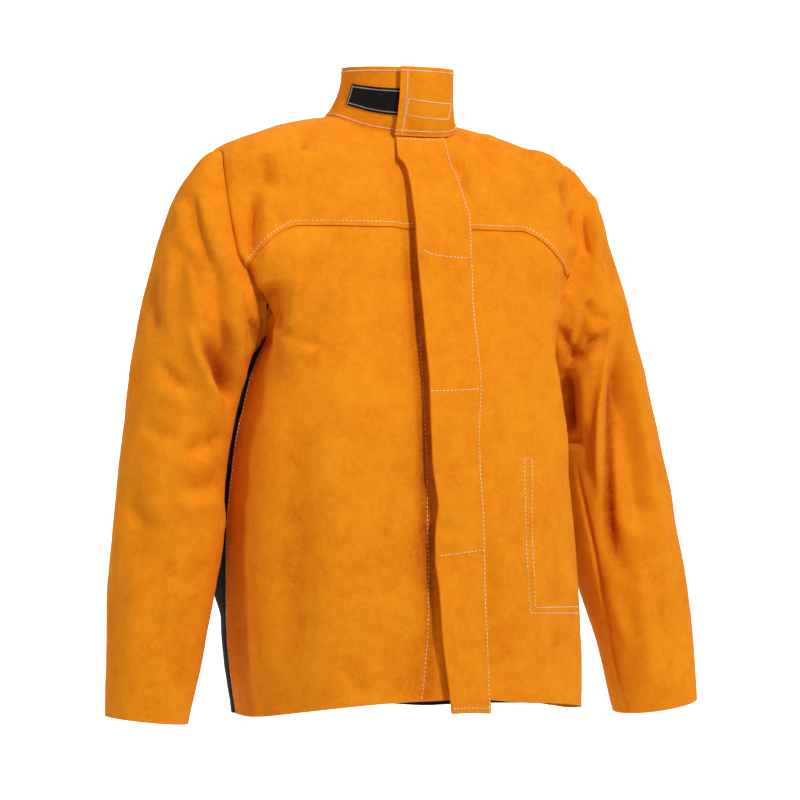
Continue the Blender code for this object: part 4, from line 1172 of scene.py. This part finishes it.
def thicken(made, thickness, rounding, outer, inner):
    # The sheet gets its wall, worked inwards, and its cut edges are rounded
    made.data.materials.append(outer)
    made.data.materials.append(inner)
    solid = made.modifiers.new("wall", "SOLIDIFY")
    solid.thickness, solid.offset = thickness, -1
    solid.material_offset = 1
    edge = made.modifiers.new("edge", "BEVEL")
    edge.width, edge.segments = rounding, 2
    edge.limit_method, edge.angle_limit = "ANGLE", math.radians(62)
    bpy.ops.object.select_all(action="DESELECT")
    bpy.context.view_layer.objects.active = made
    made.select_set(True)
    for modifier in list(made.modifiers):
        bpy.ops.object.modifier_apply(modifier=modifier.name)
    made.select_set(False)
    made.data.shade_smooth()
    return made


def insetLine(points, side, distance, first=0.0, last=1.0):
    # A line on a grid that runs at a distance from one of its sides, between two shares of it
    grid = {"bottom": points, "top": points[::-1], "left": points.transpose(1, 0, 2),
            "right": points.transpose(1, 0, 2)[::-1]}[side]
    grid = grid[:, int(first * (grid.shape[1] - 1)): int(last * (grid.shape[1] - 1)) + 1]
    run = np.linalg.norm(np.diff(grid, axis=0), axis=-1).cumsum(0)
    run = np.concatenate([np.zeros((1, grid.shape[1])), run])
    return np.array([
        [np.interp(distance, run[:, j], grid[:, j, k]) for k in range(3)] for j in range(grid.shape[1])
    ])


def pinned(points, path):
    # Where a path of pixels lies on a grid, as it shows in the photograph
    seen = pixelOf(points)
    facing = (facingOut(points) @ toCamera) > 0
    line = []
    for pixel in smoothPath(path, 12):
        away = np.linalg.norm(seen - pixel, axis=-1) + np.where(facing, 0, 1e6)
        row, col = np.unravel_index(away.argmin(), away.shape)
        row, col = min(max(row, 1), points.shape[0] - 2), min(max(col, 1), points.shape[1] - 2)
        steps = [(seen[row, col + 1] - seen[row, col - 1]) / 2, (seen[row + 1, col] - seen[row - 1, col]) / 2]
        move = np.clip(np.linalg.lstsq(np.array(steps).T, pixel - seen[row, col], rcond=None)[0], -1, 1)
        line.append(points[row, col] + move[0] * (points[row, col + 1] - points[row, col - 1]) / 2
                    + move[1] * (points[row + 1, col] - points[row - 1, col]) / 2)
    return np.array(line)


thread = {
    "pitch": 0.0050, "length": 0.0036, "thick": 0.00135, "sink": 0.00010, "slant": 7.0, "dive": 1.3,
    "span": (0.15, 0.5, 0.85),
}


def modelStitch():
    # One stitch as by hand: a ball drawn long, its ends pressed down into the leather
    bpy.ops.object.select_all(action="DESELECT")
    bpy.ops.mesh.primitive_uv_sphere_add(segments=6, ring_count=5, radius=0.5)
    made = bpy.context.object
    bpy.ops.object.mode_set(mode="EDIT")
    bpy.ops.transform.rotate(value=math.pi / 2, orient_axis="Y", center_override=(0, 0, 0))
    size = (thread["length"], thread["thick"], thread["thick"])
    bpy.ops.transform.resize(value=size, center_override=(0, 0, 0))
    bpy.ops.object.mode_set(mode="OBJECT")
    co = np.array([vert.co for vert in made.data.vertices])
    co[:, 2] -= thread["dive"] * thread["thick"] * (co[:, 0] / thread["length"]) ** 2
    faces = [tuple(face.vertices) for face in made.data.polygons]
    bpy.data.objects.remove(made)
    return co, faces


stitchPoints, stitchFaces = modelStitch()


def sew(name, grid, lines, material, closed=False, pitch=None):
    # Stitches along lines on a grid, each a small arched thread lying on the face
    pitch = pitch or thread["pitch"]
    lean = math.radians(thread["slant"])
    normals, flat = facingOut(grid, closed).reshape(-1, 3), grid.reshape(-1, 3)
    verts, faces = [], []
    for line in lines:
        run = np.concatenate([[0], np.cumsum(np.linalg.norm(np.diff(line, axis=0), axis=1))])
        count = max(2, int(round(run[-1] / pitch)))
        for k in range(count):
            ends = [(k + part) * run[-1] / count for part in thread["span"]]
            a, middle, b = pick(line, np.interp(ends, run, np.arange(len(run))) / (len(line) - 1))
            near = ((flat - middle) ** 2).sum(1)
            near = np.argsort(near)[:4] if len(flat) < 9000 else [near.argmin()]
            up = normals[near].mean(0)
            up /= np.linalg.norm(up)
            along = b - a - up * ((b - a) @ up)
            along /= np.linalg.norm(along)
            ahead = along * math.cos(lean) + np.cross(up, along) * math.sin(lean)
            centre = middle + up * (thread["thick"] / 2 - thread["sink"])
            start = len(verts) * len(stitchPoints)
            verts.append(centre + stitchPoints @ np.array([ahead, np.cross(up, ahead), up]))
            faces += [tuple(start + i for i in face) for face in stitchFaces]
    mesh = bpy.data.meshes.new(name)
    mesh.from_pydata(np.concatenate(verts).tolist(), [], faces)
    mesh.shade_smooth()
    mesh.materials.append(material)
    made = bpy.data.objects.new(name, mesh)
    bpy.context.scene.collection.objects.link(made)
    return made


def newFinish(name, roughness, specular):
    # A finish with its node tree, its shader and the place on the piece
    made = bpy.data.materials.new(name)
    made.use_nodes = True
    tree = made.node_tree
    shader = tree.nodes["Principled BSDF"]
    shader.inputs["Roughness"].default_value = roughness
    shader.inputs["Specular IOR Level"].default_value = specular
    return made, tree, shader, tree.nodes.new("ShaderNodeTexCoord").outputs["Object"]


def mottle(tree, place, scale, detail, rough=0.55, distort=0.0):
    # Soft clouds
    made = tree.nodes.new("ShaderNodeTexNoise")
    for name, value in zip(("Scale", "Detail", "Roughness", "Distortion"), (scale, detail, rough, distort)):
        made.inputs[name].default_value = value
    tree.links.new(place, made.inputs["Vector"])
    return made.outputs["Fac"]


def worked(tree, operation, *values):
    # One step of arithmetic on numbers and on what other nodes give
    made = tree.nodes.new("ShaderNodeMath")
    made.operation = operation
    for socket, value in zip(made.inputs, values):
        if isinstance(value, (int, float)):
            socket.default_value = value
        else:
            tree.links.new(value, socket)
    return made.outputs[0]


def coloured(tree, factor, stops, socket):
    # Gives a socket the colours of the stops, by a factor
    made = tree.nodes.new("ShaderNodeValToRGB")
    ramps = made.color_ramp
    ramps.elements[0].position, ramps.elements[1].position = stops[0][0], stops[-1][0]
    ramps.elements[0].color, ramps.elements[1].color = (*stops[0][1], 1), (*stops[-1][1], 1)
    for position, colour in stops[1:-1]:
        ramps.elements.new(position).color = (*colour, 1)
    tree.links.new(factor, made.inputs["Fac"])
    tree.links.new(made.outputs["Color"], socket)


def bumped(tree, shader, *layers):
    # Bumps one over the other, each of a height, a distance and a strength
    before = None
    for height, distance, strength in layers:
        made = tree.nodes.new("ShaderNodeBump")
        made.inputs["Distance"].default_value = distance
        made.inputs["Strength"].default_value = strength
        tree.links.new(height, made.inputs["Height"])
        if before is not None:
            tree.links.new(before, made.inputs["Normal"])
        before = made.outputs["Normal"]
    tree.links.new(before, shader.inputs["Normal"])


suede = {
    "name": "goldenSuede", "roughness": 0.92, "specular": 0.06,
    "sheen": 0.04, "sheenRoughness": 0.5, "sheenTint": (1.0, 0.72, 0.35, 1),
    "blotch": (15, 3, 0.5, 0.3), "cloud": (52, 4, 0.62, 0.6), "nap": (230, 3, 0.6), "pile": (1500, 2, 0.6),
    "weights": {"blotch": 0.30, "cloud": 0.40, "nap": 0.32, "pile": 0.24}, "shift": -0.11,
    "bumps": {"cloud": (0.0012, 0.35), "nap": (0.0006, 0.5), "pile": (0.00025, 0.6)},
    # Painted shade in the creases: how much the tone falls per millimetre of fold depth, below which depth, and
    # how far at most; the darker stops are mostly reached through this painted shade
    "creaseShadeStrength": 0.033, "shallow": 2.2, "darkest": -0.42,
    "stops": ((0.02, (0.34, 0.050, 0.002)), (0.24, (0.60, 0.135, 0.004)), (0.42, (0.77, 0.215, 0.006)),
              (0.56, (0.84, 0.262, 0.008)), (0.80, (0.89, 0.325, 0.016))),
}


def suedeFinish(look):
    # Brushed split leather: clouds of lighter and darker nap over a fine pile, with painted shade darkening the
    # deep creases
    made, tree, shader, place = newFinish(look["name"], look["roughness"], look["specular"])
    layers = {name: mottle(tree, place, *look[name]) for name in look["weights"]}
    tone = look["shift"]
    for name, weight in look["weights"].items():
        tone = worked(tree, "MULTIPLY_ADD", layers[name], weight, tone)
    # Painted shade: the tone falls where the relief attribute marks folds deeper than the shallow limit
    relief = tree.nodes.new("ShaderNodeAttribute")
    relief.attribute_name = "relief"
    deep = worked(tree, "MINIMUM", worked(tree, "ADD", relief.outputs["Fac"], look["shallow"]), 0.0)
    paintedShade = worked(tree, "MAXIMUM", worked(tree, "MULTIPLY", deep, look["creaseShadeStrength"]), look["darkest"])
    coloured(tree, worked(tree, "ADD", tone, paintedShade), look["stops"], shader.inputs["Base Color"])
    shader.inputs["Sheen Weight"].default_value = look["sheen"]
    shader.inputs["Sheen Roughness"].default_value = look["sheenRoughness"]
    shader.inputs["Sheen Tint"].default_value = look["sheenTint"]
    bumped(tree, shader, *((layers[name], *bump) for name, bump in look["bumps"].items()))
    return made


cottonLook = {
    "rib": 1700 / 6.28, "wave": 0.6, "roughness": 0.9, "specular": 0.15, "sheen": 0.04,
    "faded": (22, 3), "lint": (900, 2), "lintLift": 0.7,
    "stops": ((0.0, (0.003, 0.003, 0.003)), (0.75, (0.012, 0.011, 0.011))),
}


def cottonFinish(look):
    # Close black twill: fine diagonal ribs on the cloth's own length and width
    made, tree, shader, place = newFinish("blackCotton", look["roughness"], look["specular"])
    cloth = tree.nodes.new("ShaderNodeUVMap")
    cloth.uv_map = "cloth"
    ribs = tree.nodes.new("ShaderNodeTexWave")
    ribs.bands_direction = "DIAGONAL"
    ribs.inputs["Scale"].default_value = look["rib"]
    ribs.inputs["Distortion"].default_value = look["wave"]
    tree.links.new(cloth.outputs["UV"], ribs.inputs["Vector"])
    tone = worked(tree, "MULTIPLY", ribs.outputs["Fac"], mottle(tree, place, *look["faded"]))
    lint = worked(tree, "ADD", mottle(tree, place, *look["lint"]), look["lintLift"])
    coloured(tree, worked(tree, "MULTIPLY", tone, lint), look["stops"], shader.inputs["Base Color"])
    shader.inputs["Sheen Weight"].default_value = look["sheen"]
    bumped(tree, shader, (ribs.outputs["Fac"], 0.0003, 0.5))
    return made


def threadFinish(name, dark, light):
    # Twisted sewing thread
    made, tree, shader, place = newFinish(name, 0.6, 0.3)
    twist, soil = mottle(tree, place, 1400, 2), mottle(tree, place, 30, 2)
    tone = worked(tree, "MULTIPLY", worked(tree, "ADD", twist, soil), 0.5)
    coloured(tree, tone, ((0.3, dark), (0.6, light)), shader.inputs["Base Color"])
    bumped(tree, shader, (twist, 0.0002, 0.5))
    return made


hookStops = ((0.1, (0.010, 0.008, 0.009)), (0.7, (0.002, 0.0015, 0.002)))
steelStops = ((0.35, (0.42, 0.40, 0.37)), (0.6, (0.62, 0.60, 0.57)))


def hookFinish():
    # Nylon hooks standing close together on their tape
    made, tree, shader, place = newFinish("hookPile", 0.6, 0.15)
    hooks = tree.nodes.new("ShaderNodeTexVoronoi")
    hooks.inputs["Scale"].default_value = 850
    tree.links.new(place, hooks.inputs["Vector"])
    coloured(tree, hooks.outputs["Distance"], hookStops, shader.inputs["Base Color"])
    bumped(tree, shader, (hooks.outputs["Distance"], 0.0006, 0.8))
    return made


def snapFinish():
    # Pressed steel with a brushed, slightly stained face
    made, tree, shader, place = newFinish("pressedSteel", 0.35, 0.5)
    shader.inputs["Metallic"].default_value = 1.0
    stain = mottle(tree, place, 260, 4)
    coloured(tree, stain, steelStops, shader.inputs["Base Color"])
    tree.links.new(worked(tree, "MULTIPLY_ADD", stain, 0.4), shader.inputs["Roughness"])
    bumped(tree, shader, (mottle(tree, place, 1200, 2), 0.0001, 0.4))
    return made


golden = suedeFinish(suede)
# The flesh side: the same tone, darker, with the crease mark turned round into painted light, lighter where the
# outer face has its creases
flesh = suedeFinish({
    **suede, "name": "fleshSide", "creaseShadeStrength": -0.04, "sheen": 0.05,
    "stops": tuple((at, tuple(0.72 * part for part in colour)) for at, colour in suede["stops"]),
})
cotton = cottonFinish(cottonLook)
cream = threadFinish("creamThread", (0.66, 0.42, 0.20), (0.94, 0.78, 0.52))
grey = threadFinish("greyThread", (0.16, 0.15, 0.15), (0.42, 0.40, 0.40))
hooks = hookFinish()
steel = snapFinish()
print("finishes mixed")


def settle(made, nodes=()):
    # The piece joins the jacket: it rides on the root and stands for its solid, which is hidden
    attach(made, "root")
    if nodes:
        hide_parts(*nodes)
    return made


def stitched(name, grid, lines, material=None, closed=False, pitch=None):
    # A row of stitches that rides with the piece it is sewn on
    made = sew(name, grid, lines, material or cream, closed, pitch)
    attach(made, "root")
    return made


def sewn(name, grids, thickness, outer, inner, rounding=panel["rounding"], closed=False):
    # A piece with its wall and its finishes
    return thicken(sheetObject(name, grids, closed), thickness, rounding, outer, inner)


underFly = ((419.4, 335), (421.8, 371), (425.7, 437), (427, 466), (427.4, 512), (428, 546), (428.5, 599),
            (427.6, 635), (425.8, 657), (423.6, 684), (421, 700))
pocketStitches = (
    ((523.8, 461), (525.5, 529), (528, 583), (530, 612.5)),
    ((531.8, 460), (531.8, 529), (534.5, 592), (535.4, 607)),
    ((523.8, 461), (527, 458), (531.8, 460)),
    ((535.4, 607.5), (556, 607.2), (577, 606.6)),
    ((530, 613), (556, 613.2), (578, 613)),
)
for sign, side, area, paths in ((-1, "right", 0.185, (underFly,)), (1, "left", 0.165, pocketStitches)):
    grid, relief = frontPanel(sign)
    made = sewn(side + "Front", [(grid, relief)], wall["leather"], golden, flesh)
    lines = [insetLine(grid, "right", panel["stitchIn"], 0.0, panel["sideShare"])]
    lines += [pinned(grid, path) for path in paths]
    sewing = stitched(side + "FrontStitches", grid, lines)
    settle(made, ["front_" + side])
    print("wearer's", side, "front hung")

back = sewn("cottonBack", [backPanel()], wall["cotton"], cotton, cotton, 0.0003)
settle(back, ["back_panel"])
print("cotton back hung")

yokeParts = [frontYoke(1), backYoke(), frontYoke(-1)]
yoke = sewn("yokeSheet", yokeParts, wall["leather"], golden, flesh)
yokeSewing = [
    stitched("yokeStitches_%d" % n, grid, [insetLine(grid, "bottom", yokeCut["stitchIn"], 0.01, 0.985)])
    for n, (grid, relief) in enumerate(yokeParts)
]
settle(yoke, ["yoke"])
print("yoke laid over the shoulders")

for sign, side, rows, folds, photoRows in (
    (1, "left", leftSleeveRows, leftSleeveFoldRows, leftSleevePhotoFolds),
    (-1, "right", rightSleeveRows, rightSleeveFoldRows, rightSleevePhotoFolds),
):
    grids = [sleeveGrid(rows, sign, folds, photoRows)]
    made = sewn(side + "Sleeve", grids, wall["leather"], golden, flesh, closed=True)
    settle(made, ["sleeve_" + side])
    print(side, "sleeve set in")

grid, relief = flapGrid()
front = sewn("frontFlap", [(grid, relief)], 2 * wall["leather"], golden, golden, flap["edgeRound"])
flapLines = [pinned(grid, path) for path in flap["crossStitches"]]
flapLines += [
    insetLine(grid, "right", flap["sideStitch"]),
    insetLine(grid, "top", *flap["topStitch"]),
    insetLine(grid, "bottom", *flap["hemStitch"]),
]
flapSewing = stitched("flapStitches", grid, flapLines)
settle(front, ["front_flap"])
print("front flap closed")

grid, relief = collarSheet()
collarPiece = sewn("collarBand", [(grid, relief)], wall["collarWall"], golden, golden, collarShape["round"])
collarLines = [insetLine(grid, *place) for place in collarShape["stitches"]]
outerLayer = grid[:, -int(0.3 * grid.shape[1]):]
collarLines += [pinned(outerLayer, path) for path in collarShape["tapeBox"]]
collarSewing = stitched("collarStitches", grid, collarLines, pitch=collarShape["pitch"])
settle(collarPiece, ["collar"])

grid, relief = stripGrid(strip["hookStart"], strip["hookEnd"], wall["tape"] + 0.0002)
hookStrip = sewn("hookTape", [(grid, relief)], wall["tape"], hooks, hooks)
hookLines = [insetLine(grid, side, *strip["stitches"]) for side in ("top", "bottom", "left", "right")]
hookSewing = stitched("hookTapeStitches", grid, hookLines, grey, pitch=strip["pitch"])
settle(hookStrip, ["hook_strip"])
inside = -wall["collarWall"] - 0.0003
loopGrid = stripGrid(strip["loopStart"] - 360, strip["loopEnd"] - 360, inside)
loopStrip = sewn("loopTape", [loopGrid], wall["tape"], hooks, hooks)
settle(loopStrip, ["loop_strip"])
print("collar and its tapes sewn on")

bag = sewn("pocketBag", [pocketGrid()], wall["leather"], flesh, flesh)
settle(bag, ["inside_pocket"])
for number in range(1, 7):
    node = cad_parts["snap_%d" % number]
    node.data.materials.clear()
    node.data.materials.append(steel)
print("pocket bag and snaps in place")

stage = {
    "floor": -0.92, "reach": 7.0, "rim": 5.0, "curve": 1.6, "steps": 8, "light": 0.58,
    "behind": (-0.5, 0.5), "aside": (1.8, 2.8),
}


def makeStage():
    # A pale round floor that curves up far away all round
    curve, flat = stage["curve"], stage["reach"] - stage["curve"]
    bpy.ops.object.select_all(action="DESELECT")
    bpy.ops.mesh.primitive_circle_add(
        vertices=96, radius=flat, fill_type="NGON", location=(0, 0, stage["floor"])
    )
    floor = bpy.context.object
    floor.name = "paleFloor"
    bpy.ops.object.mode_set(mode="EDIT")
    turns = [math.radians(90 * step / stage["steps"]) for step in range(stage["steps"] + 1)]
    for before, turn in zip(turns, turns[1:]):
        grown = (flat + curve * math.sin(turn)) / (flat + curve * math.sin(before))
        bpy.ops.mesh.extrude_region_move()
        bpy.ops.transform.resize(value=(grown, grown, 1), center_override=(0, 0, 0))
        bpy.ops.transform.translate(value=(0, 0, curve * (math.cos(before) - math.cos(turn))))
    bpy.ops.mesh.extrude_region_move()
    bpy.ops.transform.translate(value=(0, 0, stage["rim"] - curve))
    bpy.ops.mesh.select_all(action="SELECT")
    bpy.ops.mesh.normals_make_consistent(inside=True)
    bpy.ops.object.mode_set(mode="OBJECT")
    bpy.ops.object.transform_apply(location=True)
    floor.data.shade_smooth()
    made, tree, shader, place = newFinish("palePaper", 0.95, 0.05)
    pale = stage["light"]
    stops = ((0.3, (pale,) * 3), (0.7, (pale * 1.01,) * 3))
    coloured(tree, mottle(tree, place, 3, 2), stops, shader.inputs["Base Color"])
    # The paper glows only where the jacket stands before it, so that it stays white there
    spread = []
    for line, (start, end) in ((-toCamera, stage["behind"]), (toRight, stage["aside"])):
        along = tree.nodes.new("ShaderNodeVectorMath")
        along.operation = "DOT_PRODUCT"
        along.inputs[1].default_value = tuple(line)
        tree.links.new(place, along.inputs[0])
        away = along.outputs["Value"]
        if spread:
            away = worked(tree, "ABSOLUTE", away)
        eased = tree.nodes.new("ShaderNodeMapRange")
        eased.interpolation_type = "SMOOTHSTEP"
        eased.inputs["From Min"].default_value, eased.inputs["From Max"].default_value = start, end
        tree.links.new(away, eased.inputs["Value"])
        spread.append(eased.outputs["Result"])
    glow = ((0.0, (0.0,) * 3), (1.0, (1.0,) * 3))
    coloured(tree, worked(tree, "SUBTRACT", *spread), glow, shader.inputs["Emission Color"])
    shader.inputs["Emission Strength"].default_value = 1.0
    floor.data.materials.append(made)


# Each light: degrees from the camera's side, height, distance, size and power
lights = {
    "keyLight": (34, 2.0, 3.0, 0.4, 98),
    "fillLight": (-58, 0.8, 3.2, 0.6, 27),
    "sideLight": (62, 0.9, 3.4, 1.0, 6),
    "backLight": (165, 1.4, 3.4, 2.0, 8),
}


def softLight(name, turn, height, distance, size, power):
    # A soft round light aimed at the chest
    lamp = bpy.data.lights.new(name, "AREA")
    lamp.shape, lamp.size, lamp.energy = "DISK", size, power
    made = bpy.data.objects.new(name, lamp)
    angle = math.radians(view["turn"] + turn)
    made.location = Vector((math.sin(angle) * distance, -math.cos(angle) * distance, height))
    made.rotation_euler = (Vector((0, 0, -0.3)) - made.location).to_track_quat("-Z", "Y").to_euler()
    bpy.context.scene.collection.objects.link(made)


makeStage()
for name, place in lights.items():
    softLight(name, *place)

world = bpy.data.worlds.new("studioAir")
world.use_nodes = True
world.node_tree.nodes["Background"].inputs["Color"].default_value = (1, 1, 1, 1)
world.node_tree.nodes["Background"].inputs["Strength"].default_value = 0.03
bpy.context.scene.world = world
bpy.context.scene.view_settings.view_transform = "Standard"

camera = bpy.data.cameras.new("photoCamera")
camera.sensor_width = view["lensWidth"]
camera.lens = view["lensWidth"] * view["distance"] / (view["frame"] * view["pixel"])
cameraObject = bpy.data.objects.new("photoCamera", camera)
cameraObject.location = Vector(aim + toCamera * view["distance"])
cameraObject.rotation_euler = (math.radians(90), 0, turned)
bpy.context.scene.collection.objects.link(cameraObject)
bpy.context.scene.camera = cameraObject
print("stage, lights and camera set")
